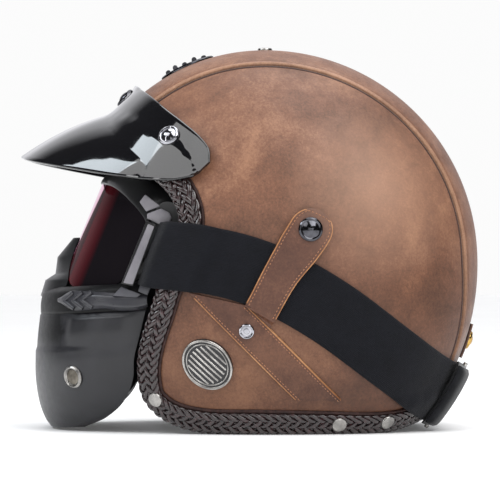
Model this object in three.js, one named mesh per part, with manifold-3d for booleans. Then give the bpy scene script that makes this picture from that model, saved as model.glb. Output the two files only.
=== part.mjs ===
// Open face motorcycle helmet: a leather-covered shell with plaited edge trim,
// a peak held by snaps, goggles on an elastic strap, and a face mask that pulls
// off the goggle rail.
//
// Millimetres. Everything is built in a head frame: +X to the wearer's left,
// -Y forward, +Z up, origin at the middle of the head. The finished group is
// then tipped back on to its trim and lifted to stand on z = 0.

import * as THREE from 'three';
import { mergeVertices } from 'three/addons/utils/BufferGeometryUtils.js';
import Module from 'manifold-3d';

const wasm = await Module();
wasm.setup();

// ---- Driving dimensions --------------------------------------------------

// The leather's outer surface: half-axes of a rounded form about the head.
const HALF_WIDTH = 117;
const FRONT_REACH = 134;
const REAR_REACH = 142;
const CROWN_RISE = 141.5;
const LOWER_DROP = 150;
const UPPER_EXPONENT = 2.3;
const LOWER_EXPONENT = 3.1;
const FULL_LOWER_RISE = -0.75;

// How the helmet stands: tilt about X, and where the floor is below the head.
const STAND_TILT = THREE.MathUtils.degToRad(3.2);
const FLOOR_DROP = 110.3;
const MIDDLE_Y = 10.4;

// Layers, as heights above the leather's outer surface.
const LEATHER = { top: 0, bottom: -1.7 };
const SHELL = { top: -2.0, bottom: -5.2 };
const LINER = { top: -8.4, bottom: -24 };
const PAD_TOP = -28.5;
const GAP = 0.4;

// Edge trim: how far each leg of its U reaches in from the shell's edge.
const TRIM_OUTER_LEG = 12;
const TRIM_INNER_LEG = 7;
const TRIM_TOP = 3.2;

// Seams run fore and aft in planes this far from the middle.
const SEAM_X = 55;
const SEAM_SLOT = 2.9;
const WELT_HALF_WIDTH = 1.7;

const RIVET_RADIUS = 4.9;
const SNAP_RADIUS = 7.8;
const BAND_HALF_WIDTH = 10;
const TAB_HALF_WIDTH = 10.5;
const TAB_THICKNESS = 1.8;
const STRAP_HALF_WIDTH = 20.5;
const STRAP_THICKNESS = 1.6;
const PEAK_THICKNESS = 2.2;
const FRAME_WIDTH = 9;
const FRAME_DEPTH = 14;
const MASK_THICKNESS = 3;
const FAR = 400;

// ---- Materials -----------------------------------------------------------

const finish = (color, roughness, metalness = 0) =>
  new THREE.MeshStandardMaterial({ color, roughness, metalness });

const LOOKS = {
  leather: finish(0x9c6b50, 0.6),
  darkLeather: finish(0x6f4a3a, 0.6),
  braid: finish(0x3a2f33, 0.4),
  shell: finish(0x202022, 0.4),
  foam: finish(0x2b2b2d, 0.95),
  lining: finish(0x3a2a22, 0.9),
  gloss: finish(0x101012, 0.12),
  plastic: finish(0x3a3a3e, 0.5),
  webbing: finish(0x222226, 0.85),
  steel: finish(0xb8b8bc, 0.3, 1),
  darkChrome: finish(0x55555a, 0.2, 1),
  brass: finish(0xb08a4a, 0.35, 1),
  enamel: finish(0x18181a, 0.25, 0.3),
  lens: finish(0x1a1416, 0.05),
};

// ---- The head surface ----------------------------------------------------

const vec = (x, y, z) => new THREE.Vector3(x, y, z);

// The form gets squarer towards the bottom of the shell.
function exponentAt(rise) {
  const blend = THREE.MathUtils.smoothstep(rise / FULL_LOWER_RISE, 0, 1);
  return UPPER_EXPONENT + (LOWER_EXPONENT - UPPER_EXPONENT) * blend;
}

function planeRadius(y, z) {
  return Math.hypot(y / (y < 0 ? FRONT_REACH : REAR_REACH), z / (z > 0 ? CROWN_RISE : LOWER_DROP));
}

function surfaceRadius(direction) {
  const power = exponentAt(direction.z);
  const across = Math.abs(direction.x / HALF_WIDTH) ** power;
  return (across + planeRadius(direction.y, direction.z) ** power) ** (-1 / power);
}

// The point at a height above the surface, in the direction of a given vector.
function lifted(towards, height = 0) {
  const direction = towards.clone().normalize();
  return direction.multiplyScalar(surfaceRadius(direction) + height);
}

// The surface point on the wearer's left that has this y and z.
function leftPoint(y, z) {
  let power = UPPER_EXPONENT;
  let x = 0;
  for (let pass = 0; pass < 12; pass += 1) {
    x = HALF_WIDTH * Math.max(0, 1 - planeRadius(y, z) ** power) ** (1 / power);
    power = exponentAt(z / Math.hypot(x, y, z));
  }
  return vec(x, y, z);
}

function surfaceNormal(point) {
  const side = vec(0, 0, 1).cross(point).normalize().multiplyScalar(0.5);
  const up = point.clone().cross(side).normalize().multiplyScalar(0.5);
  const alongSide = lifted(point.clone().add(side)).sub(lifted(point.clone().sub(side)));
  const alongUp = lifted(point.clone().add(up)).sub(lifted(point.clone().sub(up)));
  return alongSide.cross(alongUp).normalize();
}

const flipped = (point) => vec(-point.x, point.y, point.z);

// Repeats a left-hand run of points on the right, front to back and round again.
const bothSides = (run) => [...run, ...run.slice(1, -1).reverse().map(flipped)];

// Evenly spaced surface points along a smooth line through the given points.
function trace(points, count, closed = false) {
  const line = new THREE.CatmullRomCurve3(points.map((point) => lifted(point)), closed, 'centripetal');
  const spaced = line.getSpacedPoints(closed ? count : count - 1);
  return (closed ? spaced.slice(0, count) : spaced).map((point) => lifted(point));
}

// ---- Solid builders ------------------------------------------------------

// A closed solid from points and triangles, turned so that its faces point out.
function solid(points, triangles) {
  let volume = 0;
  for (let i = 0; i < triangles.length; i += 3) {
    const [a, b, c] = [points[triangles[i]], points[triangles[i + 1]], points[triangles[i + 2]]];
    volume += a.dot(b.clone().cross(c));
  }
  const geometry = new THREE.BufferGeometry().setFromPoints(points);
  geometry.setIndex(volume < 0 ? [...triangles].reverse() : triangles);
  geometry.computeVertexNormals();
  return geometry;
}

// Joins rings of equal size into a tube. Each ring lists its outer side, then
// its inner side backwards, so that an open tube's ends close with a strip.
function tube(rings, closed = false) {
  const size = rings[0].length;
  const triangles = [];
  const quad = (a, b, c, d) => triangles.push(a, b, c, a, c, d);
  const spans = closed ? rings.length : rings.length - 1;
  for (let row = 0; row < spans; row += 1) {
    const here = row * size;
    const next = ((row + 1) % rings.length) * size;
    for (let k = 0; k < size; k += 1) {
      const after = (k + 1) % size;
      quad(here + k, here + after, next + after, next + k);
    }
  }
  const last = (rings.length - 1) * size;
  for (let k = 0; !closed && k < size / 2 - 1; k += 1) {
    quad(k, size - 1 - k, size - 2 - k, k + 1);
    quad(last + k, last + k + 1, last + size - 2 - k, last + size - 1 - k);
  }
  return solid(rings.flat(), triangles);
}

// A plate of even thickness behind a grid of outer points.
function plate(grid, thickness) {
  const rows = grid.length - 1;
  const columns = grid[0].length - 1;
  const inner = grid.map((row, r) => row.map((point, c) => {
    const alongRow = row[Math.min(c + 1, columns)].clone().sub(row[Math.max(c - 1, 0)]);
    const alongColumn = grid[Math.min(r + 1, rows)][c].clone().sub(grid[Math.max(r - 1, 0)][c]);
    const normal = alongRow.cross(alongColumn).normalize();
    const facing = Math.sign(normal.dot(point));
    return point.clone().addScaledVector(normal, -facing * thickness);
  }));
  return tube(grid.map((row, r) => [...row, ...[...inner[r]].reverse()]));
}

// A skin over the head surface between two heights, from a pole to a closed edge.
function skin(edge, layer, rings, pole) {
  const count = edge.length;
  const points = [];
  const triangles = [];
  const centre = pole.clone().normalize();
  for (const height of [layer.top, layer.bottom]) {
    points.push(lifted(centre, height));
    for (let ring = 1; ring <= rings; ring += 1) {
      for (const stop of edge) {
        const direction = stop.clone().normalize();
        const axis = centre.clone().cross(direction).normalize();
        const turn = centre.angleTo(direction) * (ring / rings);
        points.push(lifted(centre.clone().applyAxisAngle(axis, turn), height));
      }
    }
  }
  const half = points.length / 2;
  const at = (side, ring, k) => side * half + 1 + (ring - 1) * count + (k % count);
  for (let k = 0; k < count; k += 1) {
    triangles.push(0, at(0, 1, k), at(0, 1, k + 1));
    triangles.push(half, at(1, 1, k + 1), at(1, 1, k));
    for (let ring = 1; ring < rings; ring += 1) {
      triangles.push(at(0, ring, k), at(0, ring + 1, k), at(0, ring + 1, k + 1));
      triangles.push(at(0, ring, k), at(0, ring + 1, k + 1), at(0, ring, k + 1));
      triangles.push(at(1, ring, k), at(1, ring + 1, k + 1), at(1, ring + 1, k));
      triangles.push(at(1, ring, k), at(1, ring, k + 1), at(1, ring + 1, k + 1));
    }
    triangles.push(at(0, rings, k), at(1, rings, k), at(1, rings, k + 1));
    triangles.push(at(0, rings, k), at(1, rings, k + 1), at(0, rings, k + 1));
  }
  return solid(points, triangles);
}

// Which way across the surface each point of a path has to its left.
function sideways(path, index, closed) {
  const wrap = (i) => (closed ? (i + path.length) % path.length
    : THREE.MathUtils.clamp(i, 0, path.length - 1));
  const tangent = path[wrap(index + 1)].clone().sub(path[wrap(index - 1)]);
  return path[index].clone().cross(tangent).normalize();
}

// A strip laid on the surface along a path. section(i, place) gives pairs of
// distance across and height; place(across) gives the surface point there.
function strip(path, section, closed = false) {
  return tube(path.map((point, index) => {
    const across = sideways(path, index, closed);
    const place = (distance) => point.clone().addScaledVector(across, distance);
    return section(index, place).map(([distance, height]) => lifted(place(distance), height));
  }), closed);
}

// A flat strip's section, split into steps so that it follows the surface.
function flatSection(halfWidth, bottom, thickness, steps = 4) {
  const stops = Array.from({ length: steps + 1 }, (_, k) => halfWidth * (2 * k / steps - 1));
  const outer = stops.map((distance) => [distance, bottom + thickness]);
  const inner = stops.map((distance) => [distance, bottom]);
  return [...outer, ...inner.reverse()];
}

// Moves a closed edge across the surface towards a pole by a distance.
function insetEdge(edge, distance, pole) {
  return edge.map((point, index) => {
    const across = sideways(edge, index, true);
    const inward = Math.sign(across.dot(pole));
    return lifted(point.clone().addScaledVector(across, inward * distance));
  });
}

function mirrored(geometry) {
  const copy = geometry.clone().scale(-1, 1, 1);
  copy.setIndex([...copy.index.array].reverse());
  copy.computeVertexNormals();
  return copy;
}

// A round piece about +Z from a profile of [radius, height] points.
function turned(profile, segments = 16) {
  const points = profile.map(([radius, height]) => new THREE.Vector2(radius, height));
  return new THREE.LatheGeometry(points, segments).rotateX(Math.PI / 2);
}

function boxSpan(low, high) {
  const size = vec(...high).sub(vec(...low));
  const middle = vec(...low).addScaledVector(size, 0.5);
  return new THREE.BoxGeometry(size.x, size.y, size.z).translate(middle.x, middle.y, middle.z);
}

function toManifold(geometry) {
  const bare = geometry.clone();
  bare.deleteAttribute('normal');
  bare.deleteAttribute('uv');
  const merged = mergeVertices(bare, 1e-4);
  return new wasm.Manifold(new wasm.Mesh({
    numProp: 3,
    vertProperties: new Float32Array(merged.attributes.position.array),
    triVerts: new Uint32Array(merged.index.array),
  }));
}

function boolean(action, first, second) {
  const mesh = toManifold(first)[action](toManifold(second)).getMesh();
  const geometry = new THREE.BufferGeometry();
  geometry.setAttribute('position', new THREE.BufferAttribute(mesh.vertProperties, 3));
  geometry.setIndex([...mesh.triVerts]);
  geometry.computeVertexNormals();
  return geometry;
}

// ---- Scene graph helpers -------------------------------------------------

const helmet = new THREE.Group();

function add(name, geometry, look) {
  const mesh = new THREE.Mesh(geometry, look);
  mesh.name = name;
  helmet.add(mesh);
  return mesh;
}

function addPair(name, geometry, look) {
  add(`${name}_left`, geometry, look);
  add(`${name}_right`, mirrored(geometry), look);
}

// Stands a round piece on a point with its +Z along a normal.
function stand(name, geometry, look, point, normal, height) {
  const mesh = add(name, geometry, look);
  mesh.position.copy(point).addScaledVector(normal, height);
  mesh.quaternion.setFromUnitVectors(vec(0, 0, 1), normal);
  return mesh;
}

function standPair(name, geometry, look, point, normal, height) {
  stand(`${name}_left`, geometry, look, point, normal, height);
  stand(`${name}_right`, geometry, look, flipped(point), flipped(normal), height);
}

function standOnShell(name, geometry, look, point, height) {
  standPair(name, geometry, look, point, surfaceNormal(point), height);
}

// ---- Shell, liner, leather and trim --------------------------------------

const EDGE_COUNT = 56;
const REAR_POLE = vec(0, 0.7, 0.71);
const EDGE_LEFT = [
  vec(0, -108, 84), vec(40, -102, 82), vec(74, -86, 75), vec(95, -67, 62), vec(104, -56, 49),
  vec(109, -50.5, 34), vec(110, -52, 18), vec(108.5, -58.5, 4), vec(106, -66, -12),
  vec(104, -71.5, -27), vec(100, -78.5, -45), vec(96, -82, -60), vec(92.5, -82, -72),
  vec(89.5, -79, -83), vec(90, -70.5, -92.5), vec(92.5, -60, -98.5), vec(96, -46, -102.5),
  vec(101, -10, -106), vec(97, 34, -109.8), vec(80, 69, -110.5), vec(60, 90, -107),
  vec(32, 103, -103), vec(0, 107, -101),
];
const edge = trace(bothSides(EDGE_LEFT), EDGE_COUNT, true);

// How far above the leather a piece has to lie at a point to clear the trim.
function clearHeight(point, overLeather) {
  const surface = lifted(point);
  const distance = Math.min(...edge.map((stop) => stop.distanceTo(surface)));
  const climb = 1 - THREE.MathUtils.smoothstep(distance, TRIM_OUTER_LEG + 5, TRIM_OUTER_LEG + 14);
  return overLeather + (TRIM_TOP + 0.9 - overLeather) * climb;
}

function buildShell() {
  const linerEdge = insetEdge(edge, TRIM_INNER_LEG + 7, REAR_POLE).filter((_, k) => k % 4 !== 3);
  add('outer_shell', skin(edge, SHELL, 9, REAR_POLE), LOOKS.shell);
  add('impact_liner', skin(linerEdge, LINER, 7, REAR_POLE), LOOKS.foam);
}

function buildLeather() {
  const cover = skin(edge, LEATHER, 9, REAR_POLE);
  const between = (low, high) => boolean('intersect', cover, boxSpan([low, -FAR, -FAR], [high, FAR, FAR]));
  add('centre_leather_panel', between(SEAM_SLOT - SEAM_X, SEAM_X - SEAM_SLOT), LOOKS.leather);
  add('side_leather_panel_left', between(SEAM_X + SEAM_SLOT, FAR), LOOKS.leather);
  add('side_leather_panel_right', between(-FAR, -SEAM_X - SEAM_SLOT), LOOKS.leather);
}

// The seam plane's surface points from above the brow trim to above the nape trim.
function buildWelts() {
  const stops = [[-84, 93], [-60, 116], [-20, 129], [30, 129], [80, 103], [120, 35], [122, -20], [108, -72], [99, -88]];
  const seam = stops.map(([y, z]) => lifted(vec(SEAM_X, y, z)));
  const path = trace(seam.map((point) => vec(SEAM_X, point.y, point.z)), 22);
  const rounded = [
    [-WELT_HALF_WIDTH, 0.5], [-0.8, 1.3], [0.8, 1.3], [WELT_HALF_WIDTH, 0.5],
    [WELT_HALF_WIDTH, LEATHER.bottom + 0.2], [0.8, LEATHER.bottom + 0.2],
    [-0.8, LEATHER.bottom + 0.2], [-WELT_HALF_WIDTH, LEATHER.bottom + 0.2],
  ];
  addPair('seam_welt', strip(path, () => rounded), LOOKS.darkLeather);
}

// A U section that wraps the edges of the leather and shell, trimmed flat
// underneath so that the helmet stands on it.
function buildBraid() {
  const inner = SHELL.bottom - 2.5;
  const inward = Math.sign(sideways(edge, 0, true).dot(REAR_POLE));
  const section = [
    [TRIM_OUTER_LEG, GAP], [TRIM_OUTER_LEG - 0.5, 2.4], [4, TRIM_TOP], [-2.5, 2.4], [-4.4, -3],
    [-2.5, -8], [TRIM_INNER_LEG, inner - 2.2], [TRIM_INNER_LEG, inner], [-1, inner], [-1, GAP],
  ].map(([across, height]) => [across * inward, height]);
  const floor = boxSpan([-FAR, -FAR, -FAR], [FAR, FAR, -FLOOR_DROP]).rotateX(-STAND_TILT);
  add('edge_braid', boolean('subtract', strip(edge, () => section, true), floor), LOOKS.braid);
}

function buildPads() {
  const ring = (centre, along, up, count = 14) => Array.from({ length: count }, (_, k) => {
    const angle = 2 * Math.PI * k / count;
    const level = centre.clone().normalize();
    const side = vec(0, 0, 1).cross(level).normalize();
    const rise = level.clone().cross(side);
    return lifted(lifted(level).addScaledVector(side, along * Math.cos(angle))
      .addScaledVector(rise, up * Math.sin(angle)));
  });
  const crown = vec(0, 0.06, 1);
  const crownPad = skin(ring(crown, 62, 52, 18), { top: PAD_TOP, bottom: PAD_TOP - 7 }, 3, crown);
  add('crown_pad', crownPad, LOOKS.lining);
  const cheek = leftPoint(-22, -42);
  const cheekPad = skin(ring(cheek, 27, 34), { top: PAD_TOP, bottom: PAD_TOP - 13 }, 3, cheek);
  addPair('cheek_pad', cheekPad, LOOKS.lining);
  const nape = trace([
    vec(-88, 60, -66), vec(-55, 98, -70), vec(0, 118, -72), vec(55, 98, -70), vec(88, 60, -66),
  ], 13);
  const pad = flatSection(13, PAD_TOP - 9, 9, 2);
  add('neck_pad', strip(nape, () => pad), LOOKS.lining);
}

// ---- Leather bands, badges and rivets ------------------------------------

const BAND_TOP = 2.2;
const STRAP_LOWER_EDGE = { y: -42, z: -18.3, slope: -0.28 };

function buildBands() {
  const path = trace([leftPoint(-38, -12.5), leftPoint(-14, -40.6), leftPoint(12, -71), leftPoint(26, -87.4)], 9);
  const flat = flatSection(BAND_HALF_WIDTH, GAP, BAND_TOP - GAP);
  const above = boxSpan([-FAR, -FAR, 0], [FAR, FAR, FAR]).rotateX(Math.atan(STRAP_LOWER_EDGE.slope))
    .translate(0, STRAP_LOWER_EDGE.y, STRAP_LOWER_EDGE.z);
  addPair('diagonal_band', boolean('subtract', strip(path, () => flat), above), LOOKS.leather);
}

const rivetProfile = (radius, height) => [
  [0, 0], [radius, 0], [radius, height * 0.5], [radius * 0.85, height], [0, height],
];

function buildRivets() {
  const rivet = turned(rivetProfile(RIVET_RADIUS, 1.6), 10);
  standOnShell('band_rivet', rivet, LOOKS.steel, leftPoint(-14.5, -42.9), BAND_TOP + GAP);
  const stops = { cheek_trim_rivet: [-74, -83], middle_trim_rivet: [40.7, -105], rear_trim_rivet: [71.4, -105.5] };
  for (const [name, [y, z]] of Object.entries(stops)) {
    standOnShell(name, rivet, LOOKS.steel, leftPoint(y, z), TRIM_TOP + GAP);
  }
}

// An ellipse of surface points about a centre, its long axis turned by an angle.
function ovalEdge(centre, longRadius, shortRadius, turn, count = 20) {
  const outward = surfaceNormal(centre);
  const back = vec(0, 1, 0).projectOnPlane(outward).normalize();
  const up = outward.clone().cross(back).normalize();
  return Array.from({ length: count }, (_, k) => {
    const angle = 2 * Math.PI * k / count;
    const along = longRadius * Math.cos(angle);
    const across = shortRadius * Math.sin(angle);
    return lifted(centre.clone()
      .addScaledVector(back, along * Math.cos(turn) - across * Math.sin(turn))
      .addScaledVector(up, along * Math.sin(turn) + across * Math.cos(turn)));
  });
}

function buildBadges() {
  const side = leftPoint(-40.5, -62.5);
  const oval = ovalEdge(side, 17.5, 14.5, -Math.PI / 4);
  addPair('side_plaque', skin(oval, { top: GAP + 2, bottom: GAP }, 2, side), LOOKS.enamel);
  const brow = lifted(vec(0, -45, 134));
  const browEdge = ovalEdge(brow, 19, 13, 0);
  add('brow_badge', skin(browEdge, { top: GAP + 1.6, bottom: GAP }, 2, brow), LOOKS.steel);
  const crown = lifted(vec(0, 8, 142));
  stand('crown_stud', turned(rivetProfile(5, 1.8)), LOOKS.steel, crown, surfaceNormal(crown), GAP);
  const rear = trace([vec(0, 133, -48), vec(0, 130, -60), vec(0, 125, -70)], 3);
  add('rear_tab', strip(rear, () => flatSection(13, GAP, 1.8, 2)), LOOKS.darkLeather);
  const snap = lifted(vec(0, 129, -58));
  stand('rear_tab_snap', turned(rivetProfile(6, 2)), LOOKS.brass, snap, surfaceNormal(snap), GAP + 2.4);
}

// ---- Peak ----------------------------------------------------------------

// Left halves of the peak's lines, from the middle out to the ear.
const PEAK_LINES = {
  top: [vec(0, -80.6, 122.3), vec(28, -77.5, 119.3), vec(54, -69.5, 111.5), vec(77, -59, 101.5),
    vec(91, -48.5, 92.5), vec(100.5, -39.5, 84), vec(108.5, -33, 74), vec(112, -33, 66)],
  crease: [vec(0, -92.8, 105.5), vec(30, -91, 103), vec(56, -85, 95.5), vec(78, -76, 86),
    vec(92.5, -66, 76), vec(100.5, -58.5, 69), vec(107.5, -48, 63), vec(111.5, -39, 61)],
  rim: [vec(0, -158.6, 80), vec(30, -152, 77), vec(55, -134, 72), vec(76, -110, 66),
    vec(90, -92, 62), vec(100.5, -71.5, 58), vec(108, -57, 56.8), vec(112, -44, 58.5)],
};
const PEAK_COLUMNS = 24;
const PEAK_CLEARANCE = 2.4;
const BRIM_DOME = 3.9;
const CAP_GAP = 1.1;

// across runs from -1 at the right ear to 1 at the left ear.
function peakLinePoint(line, across) {
  const curve = new THREE.CatmullRomCurve3(PEAK_LINES[line], false, 'centripetal');
  const point = curve.getPoint(Math.abs(across));
  return across < 0 ? flipped(point) : point;
}

// Keeps the peak's inner face clear of the leather and the trim.
function clearOfShell(point) {
  const height = point.length() - surfaceRadius(point.clone().normalize());
  const least = clearHeight(point, PEAK_CLEARANCE) + PEAK_THICKNESS * 1.15;
  return height < least ? lifted(point, least) : point;
}

// A point between two of the peak's lines. The brim is domed, most in the middle.
function peakPoint(from, to, across, blend) {
  const point = peakLinePoint(from, across).lerp(peakLinePoint(to, across), blend);
  const dome = to === 'rim' ? 4 * BRIM_DOME * blend * (1 - blend) * (1 - across ** 2) : 0;
  return clearOfShell(point.setZ(point.z + dome));
}

// The snap caps sit half way up the band, between its crease and its top line.
function bandMiddle(across) {
  const at = (a, blend) => peakPoint('top', 'crease', a, blend);
  const along = at(across + 0.03, 0.5).sub(at(across - 0.03, 0.5));
  const down = at(across, 1).sub(at(across, 0));
  const normal = along.cross(down).normalize();
  const point = at(across, 0.5);
  return { point, normal: normal.multiplyScalar(Math.sign(normal.dot(point))) };
}

function buildPeak() {
  const columns = Array.from({ length: PEAK_COLUMNS + 1 }, (_, k) => 2 * k / PEAK_COLUMNS - 1);
  const row = (from, to, blend) => columns.map((across) => peakPoint(from, to, across, blend));
  const grid = [row('top', 'crease', 0), row('top', 'crease', 0.5), row('top', 'crease', 1),
    row('crease', 'rim', 0.35), row('crease', 'rim', 0.7), row('crease', 'rim', 1)];
  add('peak', plate(grid, PEAK_THICKNESS), LOOKS.gloss);
  const cap = turned([[0, 0], [SNAP_RADIUS - 0.6, 0], [SNAP_RADIUS - 0.6, 1.6], [SNAP_RADIUS - 2, 3], [0, 3.8]]);
  const stud = turned(rivetProfile(4, 1.1), 12);
  const middle = bandMiddle(0);
  const side = bandMiddle(0.58);
  stand('peak_snap_cap_centre', cap, LOOKS.darkChrome, middle.point, middle.normal, CAP_GAP);
  standPair('peak_snap_cap', cap, LOOKS.darkChrome, side.point, side.normal, CAP_GAP);
  const under = lifted(middle.point);
  stand('peak_snap_stud_centre', stud, LOOKS.steel, under, surfaceNormal(under), GAP);
  standOnShell('peak_snap_stud', stud, LOOKS.steel, lifted(side.point), GAP);
}

// ---- Goggles -------------------------------------------------------------

const LENS_SLOPE = 0.48;
const LENS_CENTRE_Y = -133.8;
const LENS_WRAP = 43;
const LENS_WRAP_X = 85;

function gogglePoint(x, z, depth = 0) {
  const wrap = LENS_WRAP * (Math.abs(x) / LENS_WRAP_X) ** 2.2;
  return vec(x, LENS_CENTRE_Y + LENS_SLOPE * z + wrap + depth, z);
}

const FRAME_LEFT = [
  [0, 63], [30, 66], [60, 63], [80, 53], [90, 37], [91.6, 20], [90.5, 7], [85, -5], [74, -10.5],
  [58, -11], [42, -9], [28, -3], [14, 8], [0, 12],
];

// The lens lies over the frame's front, short of its brow and upper arms, with a cut for the nose.
const LENS_LEFT = [
  [0, 60], [26, 59.5], [45, 57], [60, 51.5], [71, 45], [79, 39], [85, 33], [87, 28], [87, 10],
  [86, -4], [82, -9], [74, -10], [58, -10.5], [43, -8.5], [29, -2.5], [15, 8.5], [0, 12.5],
];
const LENS_THICKNESS = 1.8;
const LENS_SEAT = 1.5;
const LENS_MIDDLE_Z = 36;

// The outline through left-hand [x, z] stops, stepped inward by a distance.
function goggleOutline(left, inset = 0, count = 44) {
  const stopsLeft = left.map(([x, z]) => vec(x, 0, z));
  const curve = new THREE.CatmullRomCurve3(bothSides(stopsLeft), true, 'centripetal');
  const stops = curve.getSpacedPoints(count).slice(0, count);
  return stops.map((point, k) => {
    const tangent = stops[(k + 1) % count].clone().sub(stops[(k + count - 1) % count]).normalize();
    return [point.x - tangent.z * inset, point.z + tangent.x * inset];
  });
}

const towardsMiddle = Math.sign(goggleOutline(FRAME_LEFT)[0][1] - goggleOutline(FRAME_LEFT, 1)[0][1]);

// A closed frame between two outlines and two depths behind the lens surface.
function frameRing(outer, inner, front, back) {
  const outside = goggleOutline(FRAME_LEFT, outer * towardsMiddle);
  const inside = goggleOutline(FRAME_LEFT, inner * towardsMiddle);
  return tube(outside.map(([x, z], k) => [
    gogglePoint(x, z, front), gogglePoint(...inside[k], front),
    gogglePoint(...inside[k], back), gogglePoint(x, z, back),
  ]), true);
}

function buildLens() {
  const rim = goggleOutline(LENS_LEFT, 0, 48);
  const rings = [0.25, 0.5, 0.75, 1];
  const points = [];
  const triangles = [];
  const count = rim.length;
  for (const depth of [0, LENS_THICKNESS]) {
    points.push(gogglePoint(0, LENS_MIDDLE_Z, depth));
    for (const part of rings) {
      for (const [x, z] of rim) {
        points.push(gogglePoint(x * part, LENS_MIDDLE_Z + (z - LENS_MIDDLE_Z) * part, depth));
      }
    }
  }
  const half = points.length / 2;
  const at = (side, ring, k) => side * half + 1 + ring * count + (k % count);
  for (let k = 0; k < count; k += 1) {
    for (const side of [0, 1]) {
      const face = (a, b, c) => (side ? triangles.push(a, c, b) : triangles.push(a, b, c));
      face(side * half, at(side, 0, k), at(side, 0, k + 1));
      for (let ring = 0; ring < rings.length - 1; ring += 1) {
        face(at(side, ring, k), at(side, ring + 1, k), at(side, ring + 1, k + 1));
        face(at(side, ring, k), at(side, ring + 1, k + 1), at(side, ring, k + 1));
      }
    }
    const last = rings.length - 1;
    triangles.push(at(0, last, k), at(1, last, k), at(1, last, k + 1));
    triangles.push(at(0, last, k), at(1, last, k + 1), at(0, last, k + 1));
  }
  return solid(points, triangles);
}

// A U-shaped line in plan: the middle reaches forward, the ends run back.
// across runs from -1 at the right end to 1 at the left end.
function wrapPoint({ front, rear, halfWidth, z }, across) {
  const angle = across * Math.PI / 2;
  const x = halfWidth * Math.sign(angle) * Math.abs(Math.sin(angle)) ** 0.92;
  return vec(x, rear + (front - rear) * Math.max(0, Math.cos(angle)) ** 0.9, z);
}

const wrapRow = (level, count) => (
  Array.from({ length: count + 1 }, (_, k) => wrapPoint(level, 2 * k / count - 1))
);

const RAIL = [
  { front: -149, rear: -77, halfWidth: 94, z: -12.6 },
  { front: -151, rear: -77, halfWidth: 95, z: -18.5 },
  { front: -151.5, rear: -78.5, halfWidth: 95, z: -25 },
];

const NOSE_GAP = 2.6;
const NOSE_ROWS = [[-150, -11.5, 24], [-146, -4, 22], [-140, 0.5, 19], [-138.5, 11, 14], [-129, 23, 6]];

function buildNoseGuard() {
  const grid = NOSE_ROWS.map(([y, z, halfWidth]) => Array.from({ length: 7 }, (_, k) => {
    const across = k / 3 - 1;
    const back = gogglePoint(halfWidth, z).y - NOSE_GAP - y;
    return vec(halfWidth * across, y + back * across ** 2, z);
  }));
  return plate(grid, 2);
}

// The outrigger's side outline as [y, z] corners, and its inner and outer x.
const OUTRIGGER = [[-75, 31], [-69, 28], [-86, -10.5], [-93.5, -8.5]];
const OUTRIGGER_SPAN = [92.6, 99.2];

function buildOutrigger() {
  const shape = new THREE.Shape(OUTRIGGER.map(([y, z]) => new THREE.Vector2(y, z)));
  const depth = OUTRIGGER_SPAN[1] - OUTRIGGER_SPAN[0];
  const slab = new THREE.ExtrudeGeometry(shape, { depth, bevelEnabled: false });
  // Shape x and y become head y and z; the extrusion runs out along +X.
  slab.applyMatrix4(new THREE.Matrix4().makeBasis(vec(0, 1, 0), vec(0, 0, 1), vec(1, 0, 0)));
  return slab.translate(OUTRIGGER_SPAN[0], 0, 0);
}

function buildGoggles() {
  add('goggle_frame', frameRing(0, FRAME_WIDTH, LENS_THICKNESS + LENS_SEAT, FRAME_DEPTH), LOOKS.plastic);
  add('face_foam', frameRing(1, 7, FRAME_DEPTH + GAP, FRAME_DEPTH + 8), LOOKS.foam);
  add('goggle_lens', buildLens(), LOOKS.lens);
  add('mask_rail', plate(RAIL.map((level) => wrapRow(level, 20)), 4), LOOKS.plastic);
  add('nose_guard', buildNoseGuard(), LOOKS.plastic);
  const outrigger = mergeVertices(buildOutrigger());
  addPair('outrigger', outrigger, LOOKS.plastic);
}

// ---- Goggle strap --------------------------------------------------------

const STRAP_LEFT = [
  leftPoint(-90, 12.5), leftPoint(-62, 8), leftPoint(-41, 4.5), leftPoint(-16, -2.3),
  leftPoint(5.7, -11.8), leftPoint(39.6, -33.5), leftPoint(76.5, -64), leftPoint(98, -82),
  vec(42, 111, -91), vec(0, 116, -93),
];
const strapPath = trace([...STRAP_LEFT, ...STRAP_LEFT.slice(0, -1).reverse().map(flipped)], 43);

// The strap lies on the leather, and climbs over the seam welts and the trim.
function strapHeight(point) {
  return clearHeight(point, Math.abs(point.x) < SEAM_X + 14 ? 2 : 0.7);
}

function strapStrip(from, to, halfWidth, extra, thickness) {
  const path = strapPath.slice(from, to);
  return strip(path, (_, place) => flatSection(halfWidth, 0, thickness, 5)
    .map(([across, height]) => [across, height + extra + strapHeight(place(across))]));
}

// The strap's front ends are cut at a slant, along the rear edges of the outriggers.
const STRAP_FRONT_EDGE = { y: -68, z: 28, lean: 0.443 };

function buildStrap() {
  const whole = strapStrip(0, strapPath.length, STRAP_HALF_WIDTH, 0, STRAP_THICKNESS);
  const ahead = boxSpan([-FAR, -FAR, -FAR], [FAR, 0, FAR]).rotateX(-Math.atan(STRAP_FRONT_EDGE.lean))
    .translate(0, STRAP_FRONT_EDGE.y, STRAP_FRONT_EDGE.z);
  add('goggle_strap', boolean('subtract', whole, ahead), LOOKS.webbing);
  add('strap_slider', strapStrip(17, 19, STRAP_HALF_WIDTH + 2, STRAP_THICKNESS + 1.1, 2.4), LOOKS.plastic);
}

// ---- Strap tabs ----------------------------------------------------------

const TAB_LIFT = 3;
const TAB_PATH = [
  leftPoint(-2, -30.5), leftPoint(11, -8), leftPoint(21, 7), leftPoint(29.2, 19.1), leftPoint(35.5, 30),
];

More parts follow.
